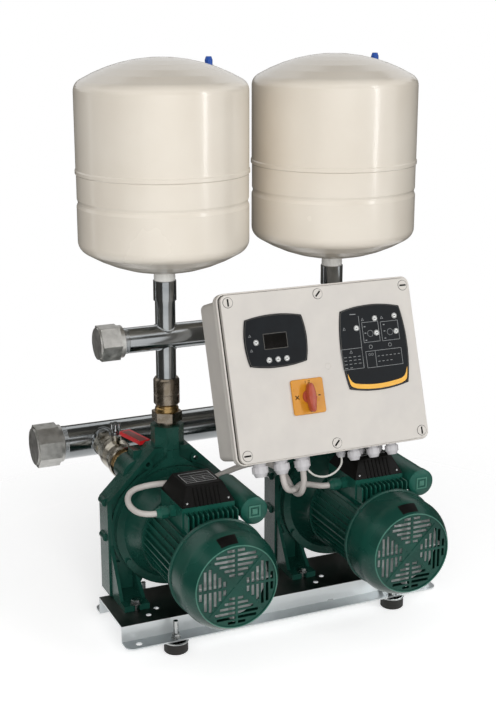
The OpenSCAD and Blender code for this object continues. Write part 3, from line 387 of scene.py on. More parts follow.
# Pump insides: jet plastic ejectors, ceramic shaft seals, brass impellers and stainless shafts.
# All are machined or moulded and sit inside the casings, out of sight.
# filled plastic is dull, and lapped ceramic smooth
jet_plastic = coating("jet_plastic", ("#2A2C2E", "#35373A"), (0.35, 0.5), 20, 1, 0.03)
seal_ceramic = coating("seal_ceramic", ("#D8D2C4", "#E6E0D4"), (0.15, 0.25), 8, 0.8, 0.01)
# turned metals keep a soft shine
impeller_brass = coating(
    "impeller_brass", ("#B08D45", "#C6A45C"), (0.25, 0.4), 20, 1, 0.04, sockets={"Metallic": 1}
)
shaft_steel = coating(
    "stainless_shaft", ("#B4B5B5", "#C8C9C8"), (0.18, 0.3), 12, 0.8, 0.02, sockets={"Metallic": 1}
)
dress(jet_plastic, "ejectors")
dress(seal_ceramic, "shaft_seals")
dress(impeller_brass, "left_impeller", "right_impeller")
dress(shaft_steel, "left_shaft", "right_shaft")


# Motors: finned casings and end shields in die-cast aluminium, sprayed the same green, with steel
# stators and ball bearings inside. A row of short fins stands on the crown in front of each
# terminal box. The spray leaves a smoother skin than the dipped iron.
def middle(node):
    """Middle of a CAD node's box at rest."""
    return [(low + high) / 2 for low, high in zip(*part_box(node))]


def slab(points, place, thickness=0.1):
    """A flat plate from its outline in millimetres, drawn on X and Z and standing out along -Y."""
    bm = bmesh.new()
    face = bm.faces.new([bm.verts.new((u / 1000, 0, v / 1000)) for u, v in points])
    grown = bmesh.ops.extrude_face_region(bm, geom=[face])
    raised = [g for g in grown["geom"] if isinstance(g, bmesh.types.BMVert)]
    bmesh.ops.translate(bm, verts=raised, vec=(0, -thickness / 1000, 0))
    bmesh.ops.recalc_face_normals(bm, faces=bm.faces)
    bmesh.ops.transform(bm, matrix=place, verts=bm.verts)
    return bm


# a sprayed casting is even and half glossy
green_alloy = coating(
    "green_spray_on_aluminium", ("#13473C", "#184F43"), (0.24, 0.36), 40, 1.4, 0.08,
    sockets={"Specular IOR Level": 0.25},
)
winding = coating("stator_stack", ("#6E4A2C", "#86603C"), (0.4, 0.55), 8, 1, 0.1)
bearing = coating(
    "bearing_steel", ("#A9ABAD", "#C2C3C4"), (0.15, 0.28), 10, 0.8, 0.02, sockets={"Metallic": 1}
)
dress(green_alloy, "motor_casings", "end_shields")
dress(winding, "stators")
dress(bearing, "bearings")
pump_lines = middle("left_check_disc")[0], middle("right_check_disc")[0]
motor_height = middle("fan_covers")[2]
fin_pitch, fin_thickness, fin_root, fin_top = 8.4, 2.2, 67, 86
fin_front, fin_back, fin_corner = -181, -144, 3
fins = []
for x in pump_lines:
    for across in [fin_pitch * step for step in range(-5, 6)]:
        foot = math.sqrt(fin_root**2 - across**2)
        fins.append(
            slab(
                [
                    (fin_front, foot),
                    (fin_back, foot),
                    (fin_back, fin_top),
                    (fin_front + fin_corner, fin_top),
                    (fin_front, fin_top - fin_corner),
                ],
                Matrix.Translation((x + (across - fin_thickness / 2) / 1000, 0, motor_height))
                @ Matrix.Rotation(math.radians(90), 4, "Z"),
                fin_thickness,
            )
        )
fit("motor_crown_fins", gather(fins), [green_alloy])


# Fan covers: deep-drawn steel caps with slots punched in four sectors, sprayed green, over pale
# plastic cooling fans. The long shoulder ends in a crisp front edge whose bead is painted pale as a
# painted highlight. Four screws, painted green, hold each cover, and a plain black foil is stuck on
# its shoulder.
face_radius, cover_front, corner_radius, cone_length = 68, 273.75, 14, 18


def shoulder(share, depth):
    """Radius and height of the drawn shoulder, from its crisp front edge to the round side."""
    radius = face_radius + depth * (1 - (1 - share) ** 1.6)
    return radius, cover_front - (corner_radius - depth) - (cone_length + depth) * share


# sprayed sheet is the smoothest of the greens, and the pale, dull green is a painted highlight
green_sheet = coating(
    "green_spray_on_sheet", ("#143E35", "#19493E"), (0.22, 0.32), 50, 1.2, 0.05,
    sockets={"Specular IOR Level": 0.25},
)
painted_green_highlight = coating(
    "green_painted_highlight", ("#427667", "#508474"), (0.3, 0.42), 12, 1, 0.04,
    sockets={"Specular IOR Level": 0.3},
)
# moulded polypropylene is pale and waxy
fan_plastic = coating("fan_polypropylene", ("#DDDFDE", "#EAEBEA"), (0.4, 0.55), 20, 1, 0.04)
# printed foil is dark and nearly without shine
foil_black = coating(
    "black_foil", ("#0B0A0A", "#131211"), (0.4, 0.5), 12, 0.8, 0.01,
    sockets={"Specular IOR Level": 0.12},
)
dress(fan_plastic, "left_fan", "right_fan")
covers = copied("fan_covers")
for vert in covers.verts:
    x = pump_lines[vert.co.x > 0]
    out = Vector((vert.co.x - x, vert.co.z - motor_height))
    side = out.length * 1000 - face_radius
    front = -vert.co.y * 1000 - (cover_front - corner_radius)
    if side > -0.01 and front > -0.01:
        radius, height = shoulder(math.atan2(side, front) / math.pi * 2, math.hypot(side, front))
        out = out.normalized() * radius / 1000
        vert.co = x + out.x, -height / 1000, motor_height + out.y
to_front = Matrix.Rotation(math.radians(90), 4, "X")
axes = [Matrix.Translation((x, 0, motor_height)) @ to_front for x in pump_lines]
edge_profile = [
    (face_radius + out, cover_front + up)
    for out, up in ((-1.5, -0.55), (-1.3, 0.35), (-0.7, 0.75), (-0.1, 0.45), (0.4, -0.55))
]
front_edges = [turned(edge_profile, axis, 96) for axis in axes]
# the front edge bead is painted pale green, a painted highlight
for face in [face for edge in front_edges for face in edge.faces]:
    face.material_index = 1
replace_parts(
    fit(
        "drawn_fan_covers",
        gather([covers] + front_edges),
        [green_sheet, painted_green_highlight],
    ),
    "fan_covers",
)
foil_span, foil_lift = 0.4, 0.15
foils = []
for axis, turn in zip(axes, (98, 92)):
    foil = turned(
        [shoulder(share, corner_radius + foil_lift) for share in (0.12, 0.22, 0.32, 0.42, 0.52, 0.62)],
        axis @ Matrix.Rotation(math.radians(turn) - foil_span / 2, 4, "Z"),
        steps=10,
        angle=foil_span,
    )
    bmesh.ops.solidify(foil, geom=foil.faces[:], thickness=0.0003)
    foils.append(foil)
fit("fan_cover_foils", gather(foils), [foil_black])
screw_line, screw_reach = -0.2055, 0.082
fit(
    "fan_cover_screws",
    gather(
        turned(
            [(0, 1.7), (1.4, 1.55), (2.6, 1), (3.1, 0.2), (3.1, -1), (0, -1)],
            Matrix.Translation((x, screw_line, motor_height))
            @ Matrix.Rotation(math.radians(turn), 4, "Y")
            @ Matrix.Translation((0, 0, screw_reach)),
            20,
        )
        for x in pump_lines
        for turn in (45, 135, 225, 315)
    ),
    [green_sheet],
)


# Terminal boxes: green sprayed boxes on the motors under black nylon covers, with start capacitors
# in green cans beside them, whose ends have raised squares painted pale as a painted highlight.
# Each cover is held by two small screws and carries a plain plate with ruled white lines.
def rectangle(u0, v0, u1, v1):
    """Corners of a rectangle."""
    return [(u0, v0), (u1, v0), (u1, v1), (u0, v1)]


def rule(start, end, width=0.6):
    """Outline of a printed line of some width between two points."""
    along = (Vector(end) - Vector(start)).normalized() * width / 2
    side = Vector((-along.y, along.x))
    a, b = Vector(start) - along, Vector(end) + along
    return [a - side, b - side, b + side, a + side]


def joined(points, width):
    """Outlines of the printed lines that join points in a ring."""
    return [rule(a, b, width) for a, b in zip(points, points[1:] + points[:1])]


# moulded nylon is satin, and the print on foil is flat
black_nylon = coating(
    "black_nylon", ("#080807", "#0F0E0D"), (0.36, 0.5), 25, 1.1, 0.05,
    sockets={"Specular IOR Level": 0.1},
)
green_plastic = coating(
    "green_nylon", ("#174D41", "#1C584B"), (0.3, 0.42), 20, 1, 0.04,
    sockets={"Specular IOR Level": 0.3},
)
print_white = coating("white_print", ("#B9BABA", "#CDCECE"), (0.4, 0.5), 6, 0.7, 0.005)
rounded("terminal_covers", 1.6, black_nylon)
dress(green_alloy, "terminal_boxes")
dress(green_plastic, "motor_glands")
cans = copied("capacitors")
can_end = min(vert.co.y for vert in cans.verts)
# the raised squares' front faces take the painted highlight
for face in cans.faces:
    face.material_index = int(face.calc_center_median().y < can_end + 0.0002)
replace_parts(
    fit("stamped_capacitors", cans, [green_plastic, painted_green_highlight]), "capacitors"
)
plate_middle, plate_height = -0.11175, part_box("terminal_covers")[1][2]
screw_side, screw_place, screw_height = 0.0355, -0.15735, 0.264
plate_rules = joined(rectangle(-25.5, -20.5, 25.5, 20.5), 0.8)
plate_rules += [rule((-24, v), (24, v), 0.5) for v in (9, 1, -6, -13)]
plate_rules += [rule((-8, 9), (-8, -20), 0.5), rule((9, 1), (9, -13), 0.5)]
plates, lines, screws = [], [], []
for x in pump_lines:
    cover_top = Matrix.Translation((x, plate_middle, plate_height)) @ to_front.inverted()
    plates.append(slab(rectangle(-27, -22, 27, 22), cover_top, 0.3))
    lines += [slab(line, cover_top, 0.4) for line in plate_rules]
    for side in (-screw_side, screw_side):
        screws.append(
            turned(
                [(0, 1.5), (0.6, 1.3), (1.2, 1.25), (1.9, 0.7), (2.1, -0.6), (0, -0.6)],
                Matrix.Translation((x + side, screw_place, screw_height))
                @ Matrix.Rotation(math.radians(60), 4, "X"),
                24,
            )
        )
fit("motor_plates", gather(plates), [foil_black])
fit("motor_plate_rules", gather(lines), [print_white])
fit("terminal_cover_screws", gather(screws), [zinc_plate])


# Manifolds: a DN50 suction pipe and a DN32 delivery pipe with a hot-dip zinc coat, threaded at both
# ends and closed on the left by malleable iron caps with the sand's grain. The risers and outlets
# are welded on with a low bead.
def threaded(radius, length, pitch=2.3):
    """Profile of a pipe thread, closed towards the pipe's middle."""
    root, crest, core = radius - 0.1, radius + 0.35, radius - 1
    profile = [(core, 0), (root, 0)]
    for i in range(int(length / pitch)):
        profile += [(crest, pitch * i + pitch / 2), (root, pitch * i + pitch)]
    return profile + [(core, profile[-1][1]), (core, 0)]


def weld(radius, pipe, place, bead=1.7):
    """A weld bead where a tube along Z meets a pipe along X, on the pipe's upper side."""
    turns = [math.tau * step / 6 for step in range(6)] + [0]
    ring = turned(
        [(radius + bead * math.cos(turn), bead * math.sin(turn)) for turn in turns],
        Matrix.Identity(4),
        64,
    )
    for vert in ring.verts:
        vert.co.z += math.sqrt(max((pipe / 1000) ** 2 - vert.co.y**2, 0))
    bmesh.ops.transform(ring, matrix=place, verts=ring.verts)
    return ring


# the zinc coat mirrors its surroundings, and the cast caps scatter them
zinc_pipe = coating(
    "hot_dip_zinc", ("#9DA1A3", "#B5B8B9"), (0.13, 0.22), 35, 1.6, 0.03,
    stretch=(0.3, 1, 1), sockets={"Metallic": 1},
)
malleable = coating(
    "galvanised_malleable_iron", ("#B8B7B3", "#CFCECA"), (0.36, 0.5), 10, 1.5, 0.25,
    sockets={"Metallic": 1},
)
dress(zinc_pipe, "suction_manifold", "delivery_manifold", "riser_pipes")
dress(malleable, "manifold_caps")
riser_line, delivery_height = middle("delivery_manifold")[1:]
suction_line, suction_height, suction_side = 0.23725, 0.252, -0.054
along_x = Matrix.Rotation(math.radians(90), 4, "Y")
fit(
    "pipe_threads",
    gather(
        turned(threaded(radius, length), Matrix.Translation((x, y, z)) @ along_x, 64)
        for radius, length, x, y, z in (
            (30.15, 9.3, -0.2829, suction_line, suction_height),
            (29.85, 25.4, 0.3078, suction_line, suction_height),
            (21.2, 9.3, -0.2319, riser_line, delivery_height),
            (20.9, 25.4, 0.2488, riser_line, delivery_height),
        )
    ),
    [zinc_pipe],
)
riser_radius, outlet_radius, delivery_radius, suction_radius = 16.9, 24, 21.2, 30.15
beads = []
for x in pump_lines:
    at_riser = Matrix.Translation((x, riser_line, delivery_height))
    at_outlet = Matrix.Translation((x + suction_side, suction_line, suction_height)) @ to_front
    beads.append(weld(riser_radius, delivery_radius, at_riser))
    beads.append(weld(riser_radius, delivery_radius, at_riser @ Matrix.Rotation(math.pi, 4, "X")))
    beads.append(weld(outlet_radius, suction_radius, at_outlet))
fit("weld_beads", gather(beads), [zinc_pipe])


# Suction valves: brass nipples, nickel-plated ball valves, chromed balls, and chromed levers with
# a red dipped grip. The plating is bright and smooth, the grip's vinyl soft and thick, and browner
# in the hollow along its top.
# plain brass is warm, nickel over bronze brownish, plain nickel paler, and chrome a mirror
union_brass = coating(
    "union_brass", ("#A48658", "#BC9E6C"), (0.2, 0.34), 12, 0.9, 0.03, sockets={"Metallic": 1}
)
bronze = coating(
    "nickelled_bronze", ("#857A6B", "#A0968A"), (0.2, 0.34), 12, 1.1, 0.05, sockets={"Metallic": 1}
)
nickel = coating(
    "nickel_plate", ("#A59F92", "#C2BCAF"), (0.16, 0.3), 10, 0.9, 0.03, sockets={"Metallic": 1}
)
chrome = coating(
    "chrome_plate", ("#C4C6C8", "#D4D6D8"), (0.06, 0.12), 10, 0.8, 0.01, sockets={"Metallic": 1}
)
# dipped vinyl has a soft shine
lever_red = coating("lever_red_vinyl", ("#C01A20", "#CE2228"), (0.3, 0.42), 20, 1, 0.04)
lever_hollow_tone = coating("lever_hollow_red_brown", ("#6E2A22", "#7E332A"), (0.35, 0.5), 12, 1, 0.05)
dress(nickel, "valve_bodies")
dress(chrome, "left_valve_ball", "right_valve_ball")
nipple_top = 0.318
unions = copied("brass_unions")
for face in unions.faces:
    # the unions under the check valves are nickelled, the suction nipples plain brass
    face.material_index = int(face.calc_center_median().z > nipple_top)
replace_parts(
    fit("plated_unions", unions, [union_brass, bronze]), "brass_unions"
)
valve_line, lever_turn = 0.14125, math.radians(13)
grip_end, grip_under, grip_face = -0.0295, 0.0452, 0.052
for side, x in zip(("left", "right"), pump_lines):
    lever = copied(side + "_valve_lever")
    local = (
        Matrix.Translation((x + suction_side, valve_line, suction_height))
        @ Matrix.Rotation(lever_turn, 4, "Z")
    ).inverted()
    grip_top = []
    for face in lever.faces:
        spot = local @ face.calc_center_median()
        dipped = spot.y < grip_end and spot.z > grip_under
        face.material_index = int(dipped)
        if dipped and face.normal.z > 0.9 and spot.z > grip_face:
            grip_top.append(face)
    bmesh.ops.inset_region(lever, faces=grip_top, thickness=0.004, depth=0)
    # the hollow along the grip's top is coloured a darker red-brown
    for face in grip_top:
        face.material_index = 2
    bmesh.ops.translate(
        lever, verts=list({v for f in grip_top for v in f.verts}), vec=(0, 0, -0.001)
    )
    piece = fit(
        side + "_dipped_lever", lever, [chrome, lever_red, lever_hollow_tone], side + "_valve"
    )
    soften(piece, "dip_radius", 1.2, 40)
    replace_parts(piece, side + "_valve_lever")


# Check valves: cast and turned bronze bodies between the pumps and the delivery manifold, thinly
# nickelled, with plain brass in the neck below and plastic discs inside.
disc_plastic = coating("disc_acetal", ("#D9D9D4", "#E6E6E2"), (0.3, 0.4), 15, 0.9, 0.02)
neck_top = 0.371
valves = copied("check_valves")
for face in valves.faces:
    face.material_index = int(face.calc_center_median().z < neck_top)
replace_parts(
    fit("plated_check_valves", valves, [bronze, union_brass]), "check_valves"
)
dress(disc_plastic, "left_check_disc", "right_check_disc")


# Tanks: welded steel pressure vessels in glossy cream enamel with rolled beads, rubber membranes
# inside and blue caps over their air valves. White sealing tape is wound round their necks, where
# they meet the risers.
# stoved enamel looks wet, with soft long highlights
enamel = coating(
    "cream_enamel", ("#E3DACC", "#E8E0D3"), (0.2, 0.28), 120, 3, 0.015,
    sockets={"Coat Weight": 0.25, "Coat Roughness": 0.12},
)
membrane = coating("membrane_rubber", ("#1E1E20", "#2A2A2C"), (0.5, 0.65), 20, 1, 0.05)
# the moulded caps are satin
cap_blue = coating("cap_blue_plastic", ("#1D4FA8", "#2559B8"), (0.3, 0.42), 10, 0.9, 0.03)
# wound tape is matt and ridged
tape = coating(
    "sealing_tape", ("#D9D8D4", "#E6E5E1"), (0.5, 0.62), 14, 1.2, 0.15, stretch=(0.2, 0.2, 1)
)
dress(enamel, "tank_shells")
dress(membrane, "tank_diaphragms")
dress(cap_blue, "air_valve_caps")
tape_profile = [
    (16.2, 586.1), (17.2, 586.3), (17.9, 587.5), (17.6, 590), (17.9, 592.5), (17.5, 595),
    (17.7, 598), (17.1, 600.5), (16.2, 600.6), (16.2, 586.1),
]
fit(
    "neck_tapes",
    gather(turned(tape_profile, Matrix.Translation((x, riser_line, 0))) for x in pump_lines),
    [tape],
)


# Panel: a grey polycarbonate box and lid hung from the delivery manifold by a folded bracket with
# pipe clamps. The mouldings have a fine spark-eroded grain. Painted shade darkens the gaps round the
# lid's six slotted screws and their slots, and the gap behind the lid, where the box's rim surrounds
# it.
def surround(width, height, depth, thickness, inside):
    """A rectangular frame with round corners round the box, at some depth behind the lid's face."""
    corner, shift_u, shift_v = 14, -1.2, 0.3
    corners = [
        (
            side_u * (width / 2 - corner) + corner * math.cos(turn) + shift_u,
            side_v * (height / 2 - corner) + corner * math.sin(turn) + shift_v,
        )
        for side_u, side_v, first in ((1, 1, 0), (-1, 1, 1), (-1, -1, 2), (1, -1, 3))
        for turn in [math.pi / 2 * (first + step / 6) for step in range(7)]
    ]
    bm = bmesh.new()
    face = bm.faces.new([bm.verts.new((u / 1000, depth / 1000, v / 1000)) for u, v in corners])
    bm.normal_update()
    bmesh.ops.inset_individual(bm, faces=[face], thickness=inside / 1000)
    bmesh.ops.delete(bm, geom=[face], context="FACES_ONLY")
    grown = bmesh.ops.extrude_face_region(bm, geom=bm.faces[:])
    moved = [g for g in grown["geom"] if isinstance(g, bmesh.types.BMVert)]
    bmesh.ops.translate(bm, verts=moved, vec=(0, thickness / 1000, 0))
    bmesh.ops.recalc_face_normals(bm, faces=bm.faces)
    bmesh.ops.transform(bm, matrix=lid, verts=bm.verts)
    return bm


# eroded moulds leave polycarbonate evenly satin, and the folded bracket is dull zinc
panel_grey = coating("panel_polycarbonate", ("#D0CBC5", "#D8D3CC"), (0.38, 0.5), 60, 1.1, 0.03)
bracket_zinc = coating(
    "bracket_zinc", ("#8E9497", "#A6ABAD"), (0.28, 0.42), 30, 0.9, 0.03, sockets={"Metallic": 1}
)
board = coating("board_laminate", ("#1F5A38", "#286A44"), (0.35, 0.5), 20, 1, 0.03)
# a deep gap gives back almost no light, so this black is painted shade; it also prints the marks on
# the keys and the switch
shade_and_print_black = coating(
    "gap_shadow_and_print_black", ("#100F0E", "#191816"), (0.6, 0.7), 10, 1, 0.01,
    sockets={"Specular IOR Level": 0.1},
)
rounded("panel_box", 3, panel_grey)
rounded("panel_lid", 2.5, panel_grey)
dress(panel_grey, "lid_screws")
dress(bracket_zinc, "panel_bracket")
dress(board, "control_board")
lid_middle = (0.061, -0.145788, 0.454726)
lid = Matrix.Translation(lid_middle) @ Matrix.Rotation(-panel_tilt, 4, "X")
screw_columns, screw_rows = (-158.5, 0, 158.5), (-122, 122)
gaps = []
for u in screw_columns:
    for v in screw_rows:
        at = lid @ Matrix.Translation((u / 1000, 0, v / 1000))
        # dark rings in the gaps round the screws are painted shade
        gaps.append(
            turned(
                [(7.9, 0.15), (8.7, 0.15), (8.7, -0.4), (7.9, -0.4), (7.9, 0.15)],
                at @ to_front,
            )
        )
        # the slabs below paint shade into the screws' slots
        slot_turn = 45 * ((u > 0) - (u < 0)) * ((v > 0) - (v < 0)) - 45
        gaps.append(
            slab(
                rectangle(-6, -1.4, 6, 1.4),
                at
                @ Matrix.Rotation(math.radians(slot_turn), 4, "Y")
                @ Matrix.Translation((0, -0.0006, 0)),
                0.3,
            )
        )
fit("lid_screw_gap_and_slot_shade", gather(gaps), [shade_and_print_black])
# a dark frame behind the lid's edge is painted shade in the gap to the box's rim
fit("lid_gap_shade", surround(345.4, 270.9, 9, 3, 6), [shade_and_print_black])
rim_width, rim_height = 350, 274.5
rim = fit(
    "box_rim",
    gather(
        [surround(rim_width, rim_height, 5, 10, 2.8), surround(rim_width, rim_height, 15, 6, 10)]
    ),
    [panel_grey],
)
soften(rim, "edge_radius", 0.9, 40)


# Keypads: polyester overlays on shallow plates, printed near-black on the back so that the
# surface is satin, with fine pale line work, a yellow band, a dark display window and white keys.
def ringed(u, v, radius, width, place, depth=0.1):
    """A printed ring."""
    return turned(
        [(radius, 0), (radius, depth), (radius + width, depth), (radius + width, 0), (radius, 0)],
        place @ Matrix.Translation((u / 1000, 0, v / 1000)) @ to_front,
        24,
    )


def triangle(u, v, size):
    """Outlines of a small printed triangle."""
    foot = v - size * 0.8
    return joined([(u - size, foot), (u + size, foot), (u, v + size)], 0.5)


def pad_edge(u, v, width, height, bulge, inset):
    """Printed outline of a bulged pad, set in from its edge, as short lines."""
    tall = (height**2 / 4 + bulge**2) / (2 * bulge)
    wide = (width**2 / 4 + bulge**2) / (2 * bulge)
    arcs = [
        (Vector((width / 2 - tall, 0)), tall),
        (Vector((tall - width / 2, 0)), tall),
        (Vector((0, height / 2 - wide)), wide),
        (Vector((0, wide - height / 2)), wide),
    ]
    points = []
    for turn in [math.tau * step / 96 for step in range(96)]:
        way = Vector((math.cos(turn), math.sin(turn)))
        reach = min(
            way @ centre + math.sqrt(radius**2 - centre @ centre + (way @ centre) ** 2)
            for centre, radius in arcs
        )
        points.append(Vector((u, v)) + way * (reach - inset))
    return joined(points, 0.5)


# film printed from behind is satin, and so are the keys and the print
film = coating(
    "keypad_film", ("#15171A", "#1B1E21"), (0.4, 0.5), 30, 0.9, 0.01,
    sockets={"Specular IOR Level": 0.12},
)
key_white = coating("key_white", ("#D9DAD8", "#E4E5E3"), (0.3, 0.4), 5, 0.7, 0.02)
print_grey = coating("grey_print", ("#8B8E90", "#9A9D9E"), (0.4, 0.5), 6, 0.7, 0.005)
print_dim = coating("dim_print", ("#55524D", "#615E58"), (0.4, 0.5), 6, 0.7, 0.005)
band_yellow = coating("yellow_print", ("#EFAE2C", "#F4B838"), (0.32, 0.42), 20, 0.8, 0.01)
# the window is the only glossy spot on the keypads
glass = coating(
    "display_glass", ("#141312", "#1B1918"), (0.08, 0.12), 25, 2, 0.003,
    sockets={"Specular IOR Level": 0.3},
)
dress(film, "keypads")
dress(key_white, *[n for n in nodes if "_key_" in n])
on_film = lid @ Matrix.Translation((0, -0.0022, 0))
on_key = lid @ Matrix.Translation((0, -0.0029, 0))
in_window = lid @ Matrix.Translation((0, -0.0009, 0))

# places on the lid's face, in millimetres from its middle
borders = joined(rectangle(-106.3, 41.7, -65.7, 66.3), 0.7)
borders += pad_edge(-85, 54, 110, 86, 7, 2) + pad_edge(90, 25, 124, 142, 9, 1.6)
marks = [rule((67.5, 78), (65.5, -6)), rule((90, 18.5), (90, -7.5))]
marks.append(rule((52.5, 82.5), (62, 82), 1.2))
for field in ((72, 34, 102, 67), (106.5, 33.5, 139, 65), (28, -7, 66, 26.5), (72.5, -8, 139, 19)):
    marks += joined(rectangle(*field), 0.6)
for u, v, size in (
    (74, 72, 2.2), (110, 72, 2.2), (38.5, 59.6, 2.2),
    (45.6, 21, 2.4), (-129.6, 65.4, 2), (-129.5, 42, 2),
):
    marks += triangle(u, v, size)
for u in (76.5, 112.3):
    for v in (60, 49.3, 37.4):
        marks.append(rule((u - 0.8, v), (u + 0.8, v), 1.4))
for first, pitch, dash, rows in (
    (32, 8.5, 4, ((13, 4), (7.5, 4), (1.5, 4), (-4.5, 2))),
    (94, 7.6, 3, ((9.5, 6), (0.7, 4))),
):
    for v, count in rows:
        for u in [first + pitch * i for i in range(count)]:
            marks.append(rule((u, v), (u + dash, v), 0.8))
rings = [ringed(u, 26, 2.6, 0.6, on_film) for u in (83, 119)]
rings += [ringed(u, 13.5, 1.6, 0.5, on_film) for u in (79, 84)]
rings += [ringed(u, v, 5, 0.5, on_film) for u, v in ((85.5, 48), (122.5, 47))]
fit(
    "keypad_line_work",
    gather([slab(mark, on_film) for mark in marks] + rings),
    [print_grey],
)
fit("pad_borders", gather(slab(line, on_film) for line in borders), [print_dim])
band_middle, band_centre, low_arc, high_arc = 90, 172, 215, 207.5
outer = [(34.1, -14), (35, -22), (36.6, -30), (38.2, -34), (41.5, -36.2)]
inner = [(34.5, -14), (37.4, -22), (40.8, -27.5), (46.5, -30.9)]
low, high = [
    [(u, band_centre - math.sqrt(arc**2 - (u - band_middle) ** 2)) for u in across]
    for arc, across in ((low_arc, range(48, 133, 7)), (high_arc, range(54, 127, 8)))
]
flip = [[(2 * band_middle - u, v) for u, v in reversed(side)] for side in (outer, inner)]
fit(
    "keypad_band",
    slab(outer + low + flip[0] + list(reversed(inner + high + flip[1])), on_film),
    [band_yellow],
)
window_outline = [
    (-105, 42.6), (-104.4, 42), (-66.6, 42), (-66, 42.6),
    (-66, 65.4), (-66.6, 66), (-104.4, 66), (-105, 65.4),
]
fit("display_window", slab(window_outline, in_window, 0.6), [glass])
key_spots = {
    "key_display_": [(-120, 54), (-101, 24), (-85.5, 24), (-70, 24)],
    "key_pump_": [(61, 59), (97, 72), (134, 73), (97, 48), (134, 47)],
}
for stem, spots in key_spots.items():
    for number, (u, v) in enumerate(spots, 1):
        shapes = [
            slab(rule((u - 1.2, v), (u + 1.2, v), 1.1), on_key),
            ringed(u, v, 3.6, 0.5, on_key),
        ]
        fit(f"{stem}{number}_mark", gather(shapes), [shade_and_print_black], f"{stem}{number}")


# Main switch: a yellow plate with a slim red-brown handle on a round knob, moulded in glossy ABS
# and set on the lid's face. Short printed marks show the handle's places.
# polished ABS is glossy, with the handle a little rubbed
switch_yellow = coating("switch_yellow_abs", ("#CF8B20", "#D79329"), (0.25, 0.36), 20, 0.9, 0.01)
switch_red = coating("switch_red_abs", ("#A3442F", "#B04F38"), (0.28, 0.4), 15, 0.9, 0.02)
rounded("switch_plate", 1.2, switch_yellow)
at_switch = lid @ Matrix.Translation((-0.0415, 0, -0.041))
knob = turned(
    [(0, 8), (9.4, 8), (10.2, 7.4), (11, 4.15), (0, 4.15)], at_switch @ to_front, 64
)
grip = slab(
    [
        (-4.6, -18), (-3.4, -24), (0, -26), (3.4, -24), (4.6, -18), (6.4, -6), (6.4, 6),
        (4.6, 15), (2.6, 20), (0, 21.5), (-2.6, 20), (-4.6, 15), (-6.4, 6), (-6.4, -6),
    ],
    at_switch @ Matrix.Translation((0, -0.0075, 0)),
    13,
)
bmesh.ops.bevel(
    grip, geom=grip.edges[:], offset=0.0016, affect="EDGES", segments=3, profile=0.5, material=-1
)
lock_ring = turned(
    [(1.8, 20.3), (1.8, 20.9), (3, 20.9), (3, 20.3), (1.8, 20.3)],
    at_switch @ Matrix.Translation((0, 0, -0.015)) @ to_front,
)
lock_bar = slab(
    rectangle(-6.8, -4.5, 6.8, -1), at_switch @ Matrix.Translation((0, -0.011, 0)), 10.2
)
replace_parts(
    fit(
        "switch_knob",
        gather([knob, grip, lock_ring, lock_bar]),
        [switch_red],
        "main_switch",
    ),
    "switch_handle",
)
on_plate = at_switch @ Matrix.Translation((0, -0.004, 0))
places = [
    rule((-23, -2.6), (-17.6, 2.6), 1.5),
    rule((-23, 2.6), (-17.6, -2.6), 1.5),
    rule((18.5, 0), (20.5, 0), 2),
    rule((-3, 22), (-3, 25), 0.9),
    rule((2, 22.4), (5, 22.4), 0.9),
    rule((2, 24.6), (5, 24.6), 0.9),
]
fit("switch_marks", gather(slab(p, on_plate) for p in places), [shade_and_print_black])


# Glands: pale grey nylon cable glands, moulded with a satin skin and screwed into the panel's
# floor, two sizes of them.
gland_grey = coating("gland_nylon", ("#C4C2C4", "#D0CED0"), (0.35, 0.48), 15, 0.9, 0.03)
dress(gland_grey, "cable_glands")


# Floor, lamps and sky: white studio paper that fades into the white surround, a tall strip lamp to
# the right, a broad lamp in front and a fill on the left, and grey cards that only polished metal
# and gloss pick up.
def background_rays(tree):
    """1 for rays that show the background, 0 for rays that carry its light."""
    ray = add(tree, "ShaderNodeLightPath", {})
    first = add(
        tree,
        "ShaderNodeMath",
        {0: (ray, "Is Camera Ray"), 1: (ray, "Is Glossy Ray")},
        operation="MAXIMUM",
    )
    return add(
        tree,
        "ShaderNodeMath",
        {0: (first, "Value"), 1: (ray, "Is Transmission Ray")},
        operation="MAXIMUM",
    )


def stage(name, size, place, finish):
    """A flat stage piece: a grid of some size, set in place."""
    bm = bmesh.new()
    bmesh.ops.create_grid(bm, x_segments=2, y_segments=2, size=0.5)
    bmesh.ops.scale(bm, vec=(size[0], size[1], 1), verts=bm.verts)
    bmesh.ops.transform(bm, matrix=place, verts=bm.verts)
    mesh = bpy.data.meshes.new(name)
    bm.to_mesh(mesh)
    bm.free()
    mesh.materials.append(finish)
    sheet = bpy.data.objects.new(name, mesh)
    scene.collection.objects.link(sheet)
    return sheet


def lamp(name, place, aim, size, power):
    """A soft rectangular lamp that looks at a point."""
    light = bpy.data.lights.new(name, "AREA")
    light.shape = "RECTANGLE"
    light.size, light.size_y = size
    light.energy = power
    holder = bpy.data.objects.new(name, light)
    holder.location = place
    holder.rotation_euler = (Vector(aim) - Vector(place)).to_track_quat("-Z", "Y").to_euler()
    scene.collection.objects.link(holder)
    return holder


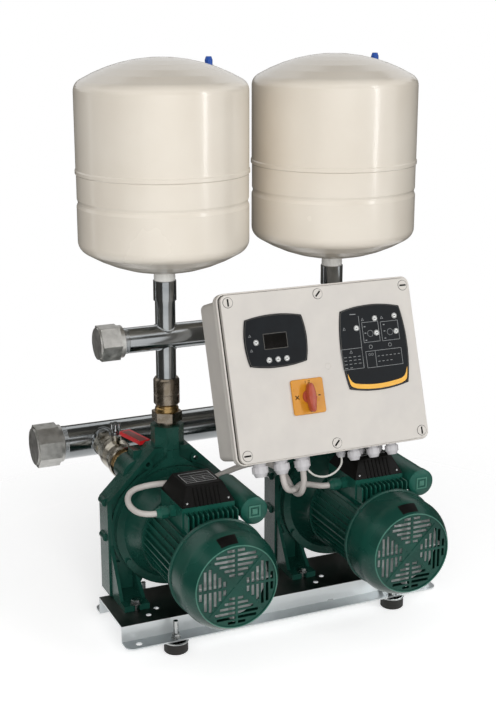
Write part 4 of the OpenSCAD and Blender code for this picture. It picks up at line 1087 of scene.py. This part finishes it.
paper_tones, white = ("#8E8D8B", "#929190"), linear("#FFFFFF")
paper = coating("studio_paper", paper_tones, (0.7, 0.8), 900, 2, 0.01)
paper_tree = paper.node_tree
paper_skin = paper_tree.nodes["Principled BSDF"]
background = background_rays(paper_tree)
whitened = add(
    paper_tree,
    "ShaderNodeMix",
    {0: (background, "Value"), 6: linear(paper_tones[0]), 7: white},
    data_type="RGBA",
)
glow = add(
    paper_tree, "ShaderNodeMath", {0: (background, "Value"), 1: 0.46}, operation="MULTIPLY"
)
add(
    paper_tree,
    paper_skin,
    {
        "Base Color": (whitened, 2),
        "Emission Color": white,
        "Emission Strength": (glow, "Value"),
        "Specular IOR Level": 0,
    },
)
paper_place = add(paper_tree, "ShaderNodeTexCoord", {})
distance = add(paper_tree, "ShaderNodeVectorMath", {0: (paper_place, "Object")}, operation="LENGTH")
fade = add(
    paper_tree,
    "ShaderNodeMapRange",
    {"Value": (distance, "Value"), "From Min": 0.36, "From Max": 1.0},
    interpolation_type="SMOOTHSTEP",
)
faded = add(
    paper_tree,
    "ShaderNodeMath",
    {0: (fade, "Result"), 1: (background, "Value")},
    operation="MULTIPLY",
)
clear = add(paper_tree, "ShaderNodeBsdfTransparent", {})
blended = add(
    paper_tree,
    "ShaderNodeMixShader",
    {0: (faded, "Value"), 1: (paper_skin, "BSDF"), 2: (clear, "BSDF")},
)
add(paper_tree, paper_tree.nodes["Material Output"], {"Surface": (blended, "Shader")})
stage("studio_floor", (12, 12), Matrix.Identity(4), paper)
card_grey = coating("card_grey", ("#6A6864", "#73716C"), (0.8, 0.9), 200, 2, 0.01)
sideways = Matrix.Rotation(math.radians(90), 4, "Z") @ to_front
for name, size, place in (
    ("card_behind", (6, 1.9), Matrix.Translation((0.6, 1.7, 0.15)) @ to_front),
    ("card_in_front", (6, 1.6), Matrix.Translation((-0.6, -3.3, 2.2)) @ to_front),
    ("card_on_left", (3.6, 2.6), Matrix.Translation((-2.3, -0.5, 0.4)) @ sideways),
    ("card_on_right", (3, 2.6), Matrix.Translation((2.4, 0.4, 0.4)) @ sideways),
    ("card_above", (5, 3.2), Matrix.Translation((0, 0.3, 3.2))),
):
    card = stage(name, size, place, card_grey)
    card.visible_camera = False
    card.visible_diffuse = False
    card.visible_shadow = False
lamp("strip_right", (1.4, -2.1, 1.25), (0, 0, 0.6), (0.25, 1.8), 14)
broad = lamp("broad_front", (-0.8, -2.7, 1.3), (0, 0, 0.55), (1.6, 1.4), 37)
broad.visible_glossy = False
fill = lamp("fill_left", (-1.9, -1.25, 0.5), (0, 0, 0.6), (1.2, 1.0), 11)
fill.visible_glossy = False
world = bpy.data.worlds.new("studio_sky")
world.use_nodes = True
sky = world.node_tree
scene.world = world
strength = add(
    sky,
    "ShaderNodeMapRange",
    {"Value": (background_rays(sky), "Value"), "To Min": 0.36, "To Max": 1.0},
)
add(sky, sky.nodes["Background"], {"Color": white, "Strength": (strength, "Result")})
